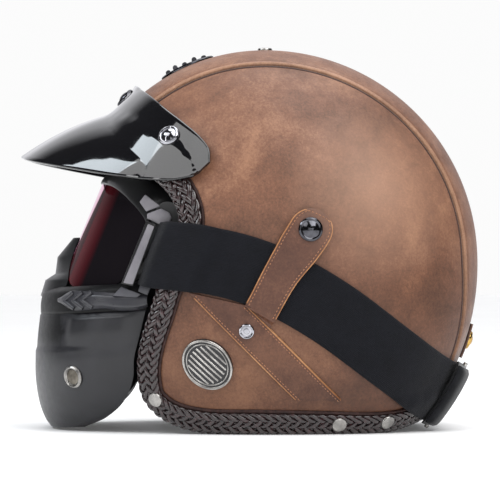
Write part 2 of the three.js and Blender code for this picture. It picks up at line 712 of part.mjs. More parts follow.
function buildTabs() {
  const path = trace(TAB_PATH, 9);
  const widths = [1, 1, 1.02, 1.06, 1.14, 1.24, 1.28, 1.1, 0.45];
  const tab = strip(path, (i) => flatSection(TAB_HALF_WIDTH * widths[i], TAB_LIFT, TAB_THICKNESS));
  addPair('strap_tab', tab, LOOKS.leather);
  const snap = leftPoint(29.2, 19.1);
  const cap = turned([[0, 0], [SNAP_RADIUS, 0], [SNAP_RADIUS, 1.2], [SNAP_RADIUS - 1.6, 2.6], [0, 3.4]]);
  standOnShell('tab_snap_cap', cap, LOOKS.darkChrome, snap, TAB_LIFT + TAB_THICKNESS + 0.5);
  standOnShell('tab_snap_stud', turned(rivetProfile(4.5, 1.7), 12), LOOKS.steel, snap, GAP);
}

// ---- Mask ----------------------------------------------------------------

const MASK = [
  { front: -152, rear: -79, halfWidth: 94.5, z: -27 },
  { front: -154.5, rear: -83.5, halfWidth: 94, z: -42 },
  { front: -156, rear: -88, halfWidth: 93, z: -57 },
  { front: -156.5, rear: -89.5, halfWidth: 89, z: -70 },
  { front: -155.5, rear: -96, halfWidth: 81, z: -84 },
  { front: -152.5, rear: -109, halfWidth: 67, z: -95 },
  { front: -149, rear: -124, halfWidth: 54, z: -101 },
];

function maskPoint(across, z) {
  const upper = MASK.findLastIndex((level) => level.z >= z);
  const [a, b] = [MASK[upper], MASK[upper + 1]];
  return wrapPoint(a, across).lerp(wrapPoint(b, across), (z - a.z) / (b.z - a.z));
}

function buildMask() {
  add('mask_shell', plate(MASK.map((level) => wrapRow(level, 24)), MASK_THICKNESS), LOOKS.plastic);
  const across = 0.63;
  const point = maskPoint(across, -67);
  const along = maskPoint(across + 0.02, -67).sub(maskPoint(across - 0.02, -67));
  const down = maskPoint(across, -69).sub(maskPoint(across, -65));
  const normal = along.cross(down).normalize();
  normal.multiplyScalar(Math.sign(normal.x));
  const vent = turned([[0, 0], [7.4, 0], [7.4, 1.2], [6.2, 2], [5, 1.2], [0, 1.2]]);
  standPair('mask_vent', vent, LOOKS.steel, point, normal, 0.8);
}

// ---- Chin strap ----------------------------------------------------------

const CHIN_Y = { front: -58, back: -38 };
const CHIN_LEFT = [[79.5, -76], [78.5, -84], [73, -92], [60, -97], [40, -99.5], [16.5, -100]];

// A strap that hangs across the opening: [x, z] stops of its lower face.
function chinStrap(stops) {
  const outline = stops.map(([x, z]) => new THREE.Vector2(x, z));
  const raised = stops.map(([x, z], i) => {
    const [ax, az] = stops[Math.max(i - 1, 0)];
    const [bx, bz] = stops[Math.min(i + 1, stops.length - 1)];
    const length = Math.hypot(bx - ax, bz - az);
    return new THREE.Vector2(x + 1.6 * (bz - az) / length, z - 1.6 * (bx - ax) / length);
  });
  const shape = new THREE.Shape([...outline, ...raised.reverse()]);
  const depth = CHIN_Y.back - CHIN_Y.front;
  const web = new THREE.ExtrudeGeometry(shape, { depth, bevelEnabled: false });
  // Shape x and y become head x and z; the extrusion runs back along +Y.
  web.applyMatrix4(new THREE.Matrix4().makeBasis(vec(1, 0, 0), vec(0, 0, 1), vec(0, -1, 0)));
  return web.translate(0, CHIN_Y.back, 0);
}

function buildChinStrap() {
  add('chin_strap_left', chinStrap(CHIN_LEFT), LOOKS.webbing);
  const right = CHIN_LEFT.map(([x, z], i) => [i === CHIN_LEFT.length - 1 ? 22.5 : x, z]);
  add('chin_strap_right', mirrored(mergeVertices(chinStrap(right))), LOOKS.webbing);
  const anchorPoint = lifted(vec(105, -48, -72), LINER.bottom - 4.6);
  const anchor = turned(rivetProfile(6, 1.5), 12);
  const normal = vec(-1, 0, 0);
  standPair('strap_anchor', anchor, LOOKS.steel, anchorPoint, normal, 1);
  const body = boxSpan([-22, -62, -104], [2, -34, -95]);
  const slot = boxSpan([-17, -56.5, -101.8], [FAR, -39.5, -97.2]);
  add('buckle_receiver', boolean('subtract', body, slot), LOOKS.plastic);
  const blade = boxSpan([-15, -56, -101.3], [5, -40, -97.7]);
  const head = boxSpan([4, -61, -103], [16, -35, -96]);
  add('buckle_tongue', boolean('add', blade, head), LOOKS.plastic);
}

// ---- Assembly ------------------------------------------------------------

buildShell();
buildLeather();
buildWelts();
buildBraid();
buildPads();
buildBands();
buildRivets();
buildBadges();
buildPeak();
buildGoggles();
buildStrap();
buildTabs();
buildMask();
buildChinStrap();

helmet.rotation.x = STAND_TILT;
helmet.position.set(0, MIDDLE_Y, FLOOR_DROP);

const model = new THREE.Group();
model.add(helmet);

export default model;
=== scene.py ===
"""The looks of the open face helmet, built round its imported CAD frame.

Shapes are worked out in the head frame of the CAD part, in millimetres: +X to
the wearer's left, -Y forward, +Z up, origin at the middle of the head. The
function `world` turns them into Blender's metres, standing on the floor.
"""

import math

import bpy
import numpy as np
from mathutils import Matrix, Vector

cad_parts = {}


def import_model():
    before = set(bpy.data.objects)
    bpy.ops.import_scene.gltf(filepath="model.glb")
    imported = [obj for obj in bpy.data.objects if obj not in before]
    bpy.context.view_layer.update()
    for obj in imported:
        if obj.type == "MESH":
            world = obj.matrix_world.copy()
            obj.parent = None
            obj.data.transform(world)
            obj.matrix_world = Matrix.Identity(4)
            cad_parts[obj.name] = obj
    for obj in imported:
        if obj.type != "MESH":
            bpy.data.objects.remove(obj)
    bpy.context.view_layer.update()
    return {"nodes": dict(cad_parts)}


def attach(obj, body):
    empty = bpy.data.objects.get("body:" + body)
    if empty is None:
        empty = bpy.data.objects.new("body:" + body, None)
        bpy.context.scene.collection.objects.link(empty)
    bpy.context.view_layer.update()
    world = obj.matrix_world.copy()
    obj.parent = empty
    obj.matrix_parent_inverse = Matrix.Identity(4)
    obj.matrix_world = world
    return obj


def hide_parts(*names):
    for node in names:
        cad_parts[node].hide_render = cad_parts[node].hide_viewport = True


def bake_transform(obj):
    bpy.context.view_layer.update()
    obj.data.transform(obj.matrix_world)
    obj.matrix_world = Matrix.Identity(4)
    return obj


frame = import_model()

# ---- Dimensions shared with the CAD part, in millimetres --------------------

HALF_WIDTH = 117
FRONT_REACH = 134
REAR_REACH = 142
CROWN_RISE = 141.5
LOWER_DROP = 150
UPPER_EXPONENT = 2.3
LOWER_EXPONENT = 3.1
FULL_LOWER_RISE = -0.75

STAND_TILT = math.radians(3.2)
FLOOR_DROP = 110.3
MIDDLE_Y = 10.4
MILLIMETRE = 0.001

SEAM_X = 55
TRIM_OUTER_LEG = 12
TRIM_TOP = 3.2
REAR_POLE = np.array([0, 0.7, 0.71])
SIDE_POLE = np.array([112.0, 25, 20])

EDGE_LEFT = [
    (0, -108, 84), (40, -102, 82), (74, -86, 75), (95, -67, 62), (104, -56, 49), (109, -50.5, 34),
    (110, -52, 18), (108.5, -58.5, 4), (106, -66, -12), (104, -71.5, -27), (100, -78.5, -45),
    (96, -82, -60), (92.5, -82, -72), (89.5, -79, -83), (90, -70.5, -92.5), (92.5, -60, -98.5),
    (96, -46, -102.5), (101, -10, -106), (97, 34, -109.8), (80, 69, -110.5), (60, 90, -107),
    (32, 103, -103), (0, 107, -101),
]

# ---- The head surface ---------------------------------------------------------


def unit(vectors):
    return vectors / np.linalg.norm(vectors, axis=-1, keepdims=True)


def smoothstep(value):
    value = np.clip(value, 0, 1)
    return value * value * (3 - 2 * value)


def exponent_at(rise):
    """The form gets squarer towards the bottom of the shell."""
    return UPPER_EXPONENT + (LOWER_EXPONENT - UPPER_EXPONENT) * smoothstep(rise / FULL_LOWER_RISE)


def plane_radius(y, z):
    return np.hypot(y / np.where(y < 0, FRONT_REACH, REAR_REACH), z / np.where(z > 0, CROWN_RISE, LOWER_DROP))


def surface_radius(direction):
    power = exponent_at(direction[..., 2])
    across = np.abs(direction[..., 0] / HALF_WIDTH) ** power
    return (across + plane_radius(direction[..., 1], direction[..., 2]) ** power) ** (-1 / power)


def lifted(towards, height=0.0):
    """Points at a height above the surface, in the directions of the given ones."""
    direction = unit(np.asarray(towards, float))
    return direction * (surface_radius(direction) + height)[..., None]


def left_point(y, z):
    """The surface point on the wearer's left that has this y and z."""
    y = np.asarray(y, float)
    z = np.asarray(z, float)
    power = UPPER_EXPONENT
    for _ in range(12):
        x = HALF_WIDTH * np.maximum(0, 1 - plane_radius(y, z) ** power) ** (1 / power)
        power = exponent_at(z / np.sqrt(x * x + y * y + z * z))
    return np.stack([x, y, z], -1)


def surface_normal(point):
    side = unit(np.cross([0, 0, 1], point)) * 0.5
    up = unit(np.cross(point, side)) * 0.5
    along_side = lifted(point + side) - lifted(point - side)
    along_up = lifted(point + up) - lifted(point - up)
    return unit(np.cross(along_side, along_up))


def flipped(points):
    return np.asarray(points, float) * [-1, 1, 1]


def both_sides(run):
    """Repeats a left-hand run of points on the right, front to back and round again."""
    run = np.asarray(run, float)
    return np.concatenate([run, flipped(run[1:-1][::-1])])


def curve_at(points, stops, closed=False):
    """A centripetal Catmull-Rom curve through the points; stops run from 0 to 1."""
    points = np.asarray(points, float)
    count = len(points)
    if closed:
        ring = np.concatenate([points[-1:], points, points[:2]])
        spans = count
    else:
        ring = np.concatenate([[2 * points[0] - points[1]], points, [2 * points[-1] - points[-2]]])
        spans = count - 1
    place = np.clip(np.asarray(stops, float), 0, 1) * spans
    index = np.minimum(place.astype(int), spans - 1)
    part = (place - index)[..., None]
    a, b, c, d = (ring[index + k] for k in range(4))
    before, here, after = (
        np.maximum(np.linalg.norm(q - p, axis=-1, keepdims=True), 1e-6) ** 0.5
        for p, q in ((a, b), (b, c), (c, d))
    )
    leave = ((b - a) / before - (c - a) / (before + here) + (c - b) / here) * here
    arrive = ((c - b) / here - (d - b) / (here + after) + (d - c) / after) * here
    square = part * part
    cube = square * part
    return (
        (2 * cube - 3 * square + 1) * b + (cube - 2 * square + part) * leave
        + (3 * square - 2 * cube) * c + (cube - square) * arrive
    )


def evenly(points, count, closed=False):
    """Evenly spaced points along the smooth curve through the given ones."""
    fine = curve_at(points, np.linspace(0, 1, 40 * len(points)), closed)
    run = np.concatenate([[0], np.cumsum(np.linalg.norm(np.diff(fine, axis=0), axis=1))])
    stops = np.linspace(0, run[-1], count + 1)[:-1] if closed else np.linspace(0, run[-1], count)
    return np.stack([np.interp(stops, run, fine[:, k]) for k in range(3)], -1)


def trace(points, count, closed=False):
    """The same, laid on the head surface."""
    return lifted(evenly(lifted(points), count, closed))


def path_length(path):
    return float(np.linalg.norm(np.diff(path, axis=0), axis=1).sum())


def sideways(path, closed=False):
    """Which way across the surface each point of a path has to its left."""
    if closed:
        tangent = np.roll(path, -1, 0) - np.roll(path, 1, 0)
    else:
        tangent = np.gradient(path, axis=0)
    return unit(np.cross(path, tangent))


def strip(path, across, height, closed=False):
    """Rows of surface points either side of a path. across and height are rows of
    numbers, one row for the whole path or one for each of its points."""
    across = np.broadcast_to(across, (len(path), np.shape(across)[-1]))
    height = np.broadcast_to(height, across.shape)
    side = sideways(path, closed)
    return lifted(path[:, None] + side[:, None] * across[..., None], height)


EDGE = trace(both_sides(EDGE_LEFT), 336, True)
EDGE_INWARD = float(np.sign(sideways(EDGE, True)[0] @ REAR_POLE))


def clear_height(points, over_leather):
    """How far above the leather a piece has to lie to clear the trim."""
    surface = lifted(points)
    distance = np.linalg.norm(surface[..., None, :] - EDGE[::4], axis=-1).min(-1)
    climb = 1 - smoothstep((distance - TRIM_OUTER_LEG - 5) / 9)
    return over_leather + (TRIM_TOP + 0.9 - over_leather) * climb


def world(points):
    """From the head frame in millimetres to Blender's metres."""
    points = np.asarray(points, float)
    x, y, z = points[..., 0], points[..., 1], points[..., 2]
    lean, rise = math.sin(STAND_TILT), math.cos(STAND_TILT)
    return np.stack([x, y * rise - z * lean + MIDDLE_Y, y * lean + z * rise + FLOOR_DROP], -1) * MILLIMETRE


# ---- Mesh building --------------------------------------------------------------


def grid_faces(rows, columns, closed_rows=False, closed_columns=False, first=0):
    """Quads over rows of points, which may join up at the ends."""
    row = np.arange(rows if closed_rows else rows - 1)[:, None]
    column = np.arange(columns if closed_columns else columns - 1)[None, :]
    below = (row + 1) % rows
    right = (column + 1) % columns
    corners = [row * columns + column, row * columns + right, below * columns + right, below * columns + column]
    return (np.stack([np.broadcast_to(c, (row.size, column.size)) for c in corners], -1) + first).reshape(-1, 4)


def tube_faces(rows, size, closed=False, first=0):
    """Quads round rings of points, with a cap on each end where the tube is open."""
    faces = grid_faces(rows, size, closed, True, first).tolist()
    if not closed:
        last = first + (rows - 1) * size
        faces.append([first + k for k in reversed(range(size))])
        faces.append([last + k for k in range(size)])
    return faces


def mesh_object(name, points, faces, look, smooth=40, chart=None):
    """A Blender object from head-frame points. chart gives each point a place on
    the cloth or leather, in millimetres, for materials that follow its run."""
    mesh = bpy.data.meshes.new(name)
    mesh.from_pydata(world(np.asarray(points).reshape(-1, 3)).tolist(), [], [list(f) for f in faces])
    mesh.validate()
    mesh.materials.append(look)
    if chart is not None:
        layer = mesh.uv_layers.new(name="run")
        corner = np.zeros(len(mesh.loops), int)
        mesh.loops.foreach_get("vertex_index", corner)
        layer.data.foreach_set("uv", np.asarray(chart, float).reshape(-1, 2)[corner].ravel())
    piece = bpy.data.objects.new(name, mesh)
    bpy.context.scene.collection.objects.link(piece)
    turn_outward(piece)
    mesh.shade_smooth()
    mesh.set_sharp_from_angle(angle=math.radians(smooth))
    return piece


def turn_outward(piece):
    import bmesh

    shape = bmesh.new()
    shape.from_mesh(piece.data)
    bmesh.ops.recalc_face_normals(shape, faces=shape.faces)
    shape.to_mesh(piece.data)
    shape.free()


def settle(piece, body, slot, *nodes):
    """Says what the piece rides on and stands for. slot is not used."""
    if nodes:
        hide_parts(*nodes)
    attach(piece, body)
    return piece


def both(build, body, slot, *nodes):
    """Builds a piece on the wearer's left and its mirror image on the right."""
    pieces = []
    for side, turn in (("left", 1), ("right", -1)):
        piece = build(side, np.array([turn, 1, 1]))
        place = f"{body}_{side}" if body == "tab" else body
        pieces.append(settle(piece, place, slot, *[f"{node}_{side}" for node in nodes]))
    return pieces


def skin_points(edge, pole, parts, heights):
    """Rings from a pole to a closed edge, at the given parts of the way there.
    heights gives each ring's height above the head surface."""
    centre = unit(np.asarray(pole, float))
    stops = unit(edge)
    angle = np.arccos(np.clip(stops @ centre, -1, 1))
    tangent = unit(stops - (stops @ centre)[:, None] * centre)
    turn = angle[None, :] * np.asarray(parts)[:, None]
    rings = np.cos(turn)[..., None] * centre + np.sin(turn)[..., None] * tangent
    return lifted(rings, np.broadcast_to(np.asarray(heights, float)[:, None] if np.ndim(heights) == 1
                                         else heights, turn.shape))


def skin(name, edge, pole, parts, tops, bottoms, look, chart=None):
    """A closed skin on the head surface, from a pole out to an edge."""
    count = len(edge)
    outer = skin_points(edge, pole, parts, tops)
    inner = skin_points(edge, pole, parts[::-1], bottoms[::-1])
    rings = np.concatenate([outer, inner])
    ends = np.stack([lifted(pole, float(np.ravel(tops)[0])), lifted(pole, float(np.ravel(bottoms)[0]))])
    points = np.concatenate([rings.reshape(-1, 3), ends])
    faces = grid_faces(len(rings), count, False, True).tolist()
    last = (len(rings) - 1) * count
    for k in range(count):
        after = (k + 1) % count
        faces.append([len(points) - 2, k, after])
        faces.append([len(points) - 1, last + after, last + k])
    return mesh_object(name, points, faces, look)


def rounded_plate(grid, thickness, roll=3):
    """Rings round a plate behind a grid of outer points. Each ring runs over the
    outer face, round the far edge, back along the inner face and round again."""
    normal = np.cross(np.gradient(grid, axis=1), np.gradient(grid, axis=0))
    normal = unit(normal)
    facing = np.sign((normal * grid).sum(-1, keepdims=True))
    normal = normal * facing
    half = thickness / 2
    middle = grid - normal * half
    out_start = unit(grid[:, 0] - grid[:, 1])
    out_end = unit(grid[:, -1] - grid[:, -2])
    bends = np.linspace(0, math.pi, roll + 2)[1:-1]
    end = np.stack([middle[:, -1] + half * (normal[:, -1] * math.cos(b) + out_end * math.sin(b)) for b in bends], 1)
    start = np.stack([middle[:, 0] - half * (normal[:, 0] * math.cos(b) - out_start * math.sin(b)) for b in bends], 1)
    return np.concatenate([grid, end, (grid - normal * thickness)[:, ::-1], start], 1)


def plate(name, grid, thickness, look, smooth=40, chart=None):
    rings = rounded_plate(grid, thickness)
    return mesh_object(name, rings, tube_faces(len(rings), rings.shape[1]), look, smooth, chart)


def turned(name, profile, point, normal, look, segments=40, smooth=32):
    """A round piece on a point, from [radius, height] pairs measured along a normal."""
    normal = unit(np.asarray(normal, float))
    side = unit(np.cross(normal, [0.3, 0.2, 1]))
    up = np.cross(normal, side)
    turn = np.linspace(0, 2 * math.pi, segments, endpoint=False)
    spoke = np.cos(turn)[:, None] * side + np.sin(turn)[:, None] * up
    profile = np.asarray(profile, float)
    rings = point + profile[:, 0, None, None] * spoke + profile[:, 1, None, None] * normal
    return mesh_object(name, rings, tube_faces(len(profile), segments), look, smooth)


def stitches(name, centre, normal, along, length, radius, look):
    """Short rounded threads, each lying along a seam and dipping in at its ends."""
    stops = np.array([-1, -0.72, -0.25, 0.25, 0.72, 1.0])
    girth = np.array([0.35, 0.8, 1, 1, 0.8, 0.35])
    dip = np.array([-1.1, -0.35, 0, 0, -0.35, -1.1])
    turn = np.linspace(0, 2 * math.pi, 6, endpoint=False)
    side = np.cross(normal, along)
    spoke = side[:, None, None] * np.cos(turn)[:, None] + normal[:, None, None] * np.sin(turn)[:, None]
    core = (
        centre[:, None] + along[:, None] * (stops * length / 2)[:, None]
        + normal[:, None] * (dip * radius)[:, None]
    )
    points = core[:, :, None] + spoke * (girth * radius)[:, None, None]
    faces = []
    for k in range(len(centre)):
        faces += tube_faces(len(stops), len(turn), first=k * len(stops) * len(turn))
    return mesh_object(name, points, faces, look, 60)


def stitch_row(name, path, pitch, height, look, radius=0.42, cover=0.72):
    """Stitches along a path on the head surface."""
    count = max(2, round(path_length(path) / pitch))
    centre = evenly(path, count)
    along = unit(np.gradient(centre, axis=0))
    normal = unit(np.cross(along, sideways(centre)))
    normal = normal * np.sign((normal * centre).sum(-1, keepdims=True))
    return stitches(name, lifted(centre, height), normal, along, pitch * cover, radius, look)


# ---- Materials --------------------------------------------------------------------


def rgb(code):
    """A linear colour from a #rrggbb one."""
    parts = [int(code[k:k + 2], 16) / 255 for k in (1, 3, 5)]
    return [p / 12.92 if p <= 0.04045 else ((p + 0.055) / 1.055) ** 2.4 for p in parts] + [1.0]


class Look:
    """A material being wired: its Principled shader and the nodes that feed it."""

    def __init__(self, name, **sockets):
        self.material = bpy.data.materials.new(name)
        self.material.use_nodes = True
        self.tree = self.material.node_tree
        self.surface = self.tree.nodes["Principled BSDF"]
        self.where = self.add("ShaderNodeTexCoord")
        for socket, value in sockets.items():
            self.surface.inputs[socket.replace("_", " ")].default_value = value

    def add(self, kind, **settings):
        node = self.tree.nodes.new(kind)
        for setting, value in settings.items():
            setattr(node, setting, value)
        return node

    def join(self, output, socket):
        self.tree.links.new(output, socket)

    def feed(self, output, socket):
        self.join(output, self.surface.inputs[socket])

    def spread(self, stretch=(1, 1, 1), source="Object"):
        """Coordinates in millimetres, optionally stretched."""
        mapping = self.add("ShaderNodeMapping")
        unit_scale = 1 if source == "UV" else 1000
        mapping.inputs["Scale"].default_value = [unit_scale / s for s in stretch]
        self.join(self.where.outputs[source], mapping.inputs["Vector"])
        return mapping.outputs["Vector"]

    def noise(self, size, detail=3, roughness=0.55, where=None, distortion=0.0):
        node = self.add("ShaderNodeTexNoise")
        node.inputs["Scale"].default_value = 1 / size
        node.inputs["Detail"].default_value = detail
        node.inputs["Roughness"].default_value = roughness
        node.inputs["Distortion"].default_value = distortion
        self.join(where or self.spread(), node.inputs["Vector"])
        return node.outputs["Fac"]

    def cells(self, size, where=None, feature="F1"):
        node = self.add("ShaderNodeTexVoronoi", feature=feature)
        node.inputs["Scale"].default_value = 1 / size
        self.join(where or self.spread(), node.inputs["Vector"])
        return node.outputs["Distance"]

    def ramp(self, value, *stops):
        node = self.add("ShaderNodeValToRGB")
        elements = node.color_ramp.elements
        while len(elements) < len(stops):
            elements.new(0.5)
        for element, (place, colour) in zip(elements, stops):
            element.position = place
            element.color = colour if isinstance(colour, list) else [colour] * 3 + [1]
        self.join(value, node.inputs["Fac"])
        return node.outputs["Color"]

    def mix(self, factor, first, second, blend="MIX"):
        node = self.add("ShaderNodeMix", data_type="RGBA", blend_type=blend)
        for socket, value in ((node.inputs[0], factor), (node.inputs[6], first), (node.inputs[7], second)):
            if isinstance(value, (float, int, list)):
                socket.default_value = value
            else:
                self.join(value, socket)
        return node.outputs[2]

    def math(self, operation, first, second=0.0):
        node = self.add("ShaderNodeMath", operation=operation)
        for socket, value in zip(node.inputs, (first, second)):
            if isinstance(value, (float, int)):
                socket.default_value = value
            else:
                self.join(value, socket)
        return node.outputs[0]

    def bump(self, height, depth, strength=1.0, under=None):
        """Relief of a depth in millimetres, over any relief already made."""
        node = self.add("ShaderNodeBump")
        node.inputs["Distance"].default_value = depth * MILLIMETRE
        node.inputs["Strength"].default_value = strength
        self.join(height, node.inputs["Height"])
        if under is not None:
            self.join(under, node.inputs["Normal"])
        return node.outputs["Normal"]


# Middle of a pale patch painted on the leather's left side towards the rear, in metres: a painted highlight.
PAINTED_HIGHLIGHT_SPOT = (0.105, 0.085, 0.16)


def leather_look(name, dark, middle, light, worn=0.5):
    """Aged pull-up leather: broad blotches, small mottling, pale rubs and a fine pebble grain, with painted shade
    towards the bottom and a painted highlight on the left side towards the rear.
    """
    look = Look(name, Coat_Weight=0.05, Coat_Roughness=0.4, Specular_IOR_Level=0.4)
    blotch = look.noise(70, 3, 0.5, distortion=0.8)
    mottle = look.noise(13, 7, 0.66, distortion=0.4)
    fleck = look.noise(1.6, 4, 0.75)
    wrinkle = look.noise(4.5, 6, 0.8, distortion=1.6)
    tone = look.mix(0.34, blotch, mottle)
    tone = look.mix(0.25, look.mix(0.25, tone, wrinkle), fleck)
    colour = look.ramp(tone, (0.38, rgb(dark)), (0.5, rgb(middle)), (0.62, rgb(light)))
    rubs = look.noise(24, 9, 0.8, look.spread((1, 2.4, 1)), 0.5)
    colour = look.mix(look.ramp(rubs, (0.55, 0.0), (0.7, worn)), colour, rgb(light))
    stains = look.noise(33, 7, 0.74, distortion=1.2)
    colour = look.mix(look.ramp(stains, (0.3, 0.4), (0.42, 0.0)), colour, rgb(dark))
    split = look.add("ShaderNodeSeparateXYZ")
    look.join(look.where.outputs["Object"], split.inputs[0])
    # Painted shade: the leather is multiplied darker and warmer towards the bottom, below 15 cm above the floor.
    painted_low_shade = look.ramp(split.outputs[2], (0.03, [0.6, 0.53, 0.46, 1]), (0.15, 1.0))
    colour = look.mix(1.0, colour, painted_low_shade, "MULTIPLY")
    # Painted highlight: a pale patch that fades out within 65 mm of the spot above.
    from_highlight_spot = look.add("ShaderNodeVectorMath", operation="DISTANCE")
    look.join(look.where.outputs["Object"], from_highlight_spot.inputs[0])
    from_highlight_spot.inputs[1].default_value = PAINTED_HIGHLIGHT_SPOT
    painted_highlight = look.ramp(from_highlight_spot.outputs["Value"], (0.0, 0.4), (0.065, 0.0))
    look.feed(look.mix(painted_highlight, colour, rgb("#c79f86")), "Base Color")
    look.feed(look.ramp(mottle, (0.3, 0.58), (0.7, 0.44)), "Roughness")
    grain = look.cells(1.15)
    relief = look.bump(look.noise(14, 3), 0.5, 0.3)
    relief = look.bump(mottle, 0.2, 0.5, relief)
    relief = look.bump(wrinkle, 0.3, 0.6, relief)
    relief = look.bump(look.mix(0.5, grain, fleck), 0.12, 0.55, relief)
    look.feed(relief, "Normal")
    return look.material


def braid_look():
    """Polished dark plait leather with creases along each strand."""
    look = Look("braid leather", Coat_Weight=1.0, Coat_Roughness=0.08, Specular_IOR_Level=0.35)
    tone = look.noise(3.2, 5, 0.65)
    look.feed(look.ramp(tone, (0.3, rgb("#120809")), (0.55, rgb("#241415")), (0.75, rgb("#43292b"))), "Base Color")
    look.feed(look.ramp(tone, (0.3, 0.22), (0.7, 0.38)), "Roughness")
    look.feed(look.bump(look.noise(0.9, 4, 0.7), 0.08, 0.6), "Normal")
    return look.material


def dark_leather_look():
    """The dyed backing and welt cord of the plaited trim."""
    look = Look("trim backing leather", Specular_IOR_Level=0.3)
    tone = look.noise(3, 4, 0.6)
    look.feed(look.ramp(tone, (0.3, rgb("#1b0f0d")), (0.7, rgb("#3a211c"))), "Base Color")
    look.feed(look.ramp(tone, (0.3, 0.7), (0.7, 0.5)), "Roughness")
    look.feed(look.bump(look.noise(0.7, 3), 0.1, 0.5), "Normal")
    return look.material


def thread_look(name, dark, light):
    look = Look(name, Sheen_Weight=0.15)
    twist = look.noise(0.5, 2, 0.5)
    look.feed(look.ramp(twist, (0.35, rgb(dark)), (0.65, rgb(light))), "Base Color")
    look.feed(look.ramp(twist, (0.3, 0.7), (0.7, 0.5)), "Roughness")
    look.feed(look.bump(twist, 0.1, 0.6), "Normal")
    return look.material


def gloss_look():
    """Black lacquered plastic with a trace of orange peel."""
    look = Look("gloss black plastic", Coat_Weight=0.7, Coat_Roughness=0.03, Specular_IOR_Level=0.5)
    look.feed(look.ramp(look.noise(60, 2), (0.3, rgb("#08080a")), (0.7, rgb("#0e0e11"))), "Base Color")
    look.feed(look.ramp(look.noise(8, 5, 0.7), (0.4, 0.055), (0.75, 0.1)), "Roughness")
    look.feed(look.bump(look.noise(7, 2), 0.03, 0.25), "Normal")
    return look.material


def satin_look(name, dark, light, rough=(0.38, 0.5), grain=0.05, shine=0.5):
    """Moulded plastic with a spark-eroded texture and faint handling marks."""
    look = Look(name, Specular_IOR_Level=shine)
    tone = look.noise(24, 5, 0.65)
    look.feed(look.ramp(tone, (0.3, rgb(dark)), (0.7, rgb(light))), "Base Color")
    look.feed(look.ramp(look.noise(5, 5, 0.7), (0.3, rough[0]), (0.75, rough[1])), "Roughness")
    look.feed(look.bump(look.noise(0.55, 3, 0.6), grain, 0.5), "Normal")
    return look.material


def mask_look():
    """The mask's grey-black plastic, with painted shade over the upper front: near black there, and less specular."""
    look = Look("mask plastic", Specular_IOR_Level=0.5)
    split = look.add("ShaderNodeSeparateXYZ")
    look.join(look.where.outputs["Object"], split.inputs[0])
    waver = look.math("MULTIPLY", look.math("SUBTRACT", look.noise(14, 3), 0.5), 0.016)
    off_centre = look.math("ADD", look.math("ABSOLUTE", split.outputs[0]), waver)
    beside = look.ramp(off_centre, (0.066, 0.0), (0.07, 1.0))
    height = look.math("ADD", split.outputs[2], waver)
    below = look.ramp(height, (0.052, 1.0), (0.064, 0.0))
    tone = look.ramp(look.noise(24, 5, 0.65), (0.3, rgb("#17171a")), (0.7, rgb("#1f1f24")))
    # Painted shade: near black where the front is close to the middle and high up; elsewhere the plastic's own tone.
    clear_of_painted_shade = look.math("MAXIMUM", beside, below)
    look.feed(look.mix(clear_of_painted_shade, rgb("#08080a"), tone), "Base Color")
    look.feed(look.ramp(clear_of_painted_shade, (0.0, 0.16), (1.0, 0.5)), "Specular IOR Level")
    look.feed(look.ramp(look.noise(5, 5, 0.7), (0.3, 0.34), (0.75, 0.46)), "Roughness")
    look.feed(look.bump(look.noise(0.55, 3, 0.6), 0.06, 0.5), "Normal")
    return look.material


def metal_look(name, dark, light, rough=(0.2, 0.36), scratch=0.02):
    """Plated metal with fine scratches and a little tarnish."""
    look = Look(name, Metallic=1.0)
    tarnish = look.noise(9, 5, 0.6)
    look.feed(look.ramp(tarnish, (0.3, rgb(dark)), (0.62, rgb(light))), "Base Color")
    look.feed(look.ramp(tarnish, (0.3, rough[1]), (0.7, rough[0])), "Roughness")
    lines = look.noise(0.5, 3, 0.6, look.spread((1, 9, 1)))
    look.feed(look.bump(lines, scratch, 0.5), "Normal")
    return look.material


def woven_look(name, dark, light, rib=1.0, pick=0.62):
    """Ribbed weave that follows the strap: ribs along it and picks across it."""
    look = Look(name, Sheen_Weight=0.06, Sheen_Roughness=0.5, Specular_IOR_Level=0.18)
    run = look.spread(source="UV")
    split = look.add("ShaderNodeSeparateXYZ")
    look.join(run, split.inputs[0])
    ribs = look.math("SINE", look.math("MULTIPLY", split.outputs[0], 2 * math.pi / rib))
    picks = look.math("SINE", look.math("MULTIPLY", split.outputs[1], 2 * math.pi / pick))
    weave = look.math("ADD", look.math("MULTIPLY", ribs, 0.5), look.math("MULTIPLY", look.math("MULTIPLY", ribs, picks), 0.5))
    fuzz = look.noise(0.35, 3, 0.7)
    shade = look.math("ADD", look.math("MULTIPLY", weave, 0.16), look.mix(0.5, fuzz, look.noise(14, 4)))
    look.feed(look.ramp(shade, (0.3, rgb(dark)), (0.75, rgb(light))), "Base Color")
    look.feed(look.ramp(fuzz, (0.3, 0.95), (0.7, 0.78)), "Roughness")
    look.feed(look.bump(look.math("ADD", weave, look.math("MULTIPLY", fuzz, 0.6)), 0.16, 0.8), "Normal")
    return look.material


def foam_look(name, dark, light, cell=1.1, depth=0.35):
    look = Look(name, Sheen_Weight=0.2, Specular_IOR_Level=0.2)
    beads = look.cells(cell)
    tone = look.noise(6, 4, 0.6)
    look.feed(look.ramp(tone, (0.3, rgb(dark)), (0.7, rgb(light))), "Base Color")
    look.feed(look.ramp(tone, (0.3, 0.96), (0.7, 0.85)), "Roughness")
    look.feed(look.bump(beads, depth, 0.5), "Normal")
    return look.material


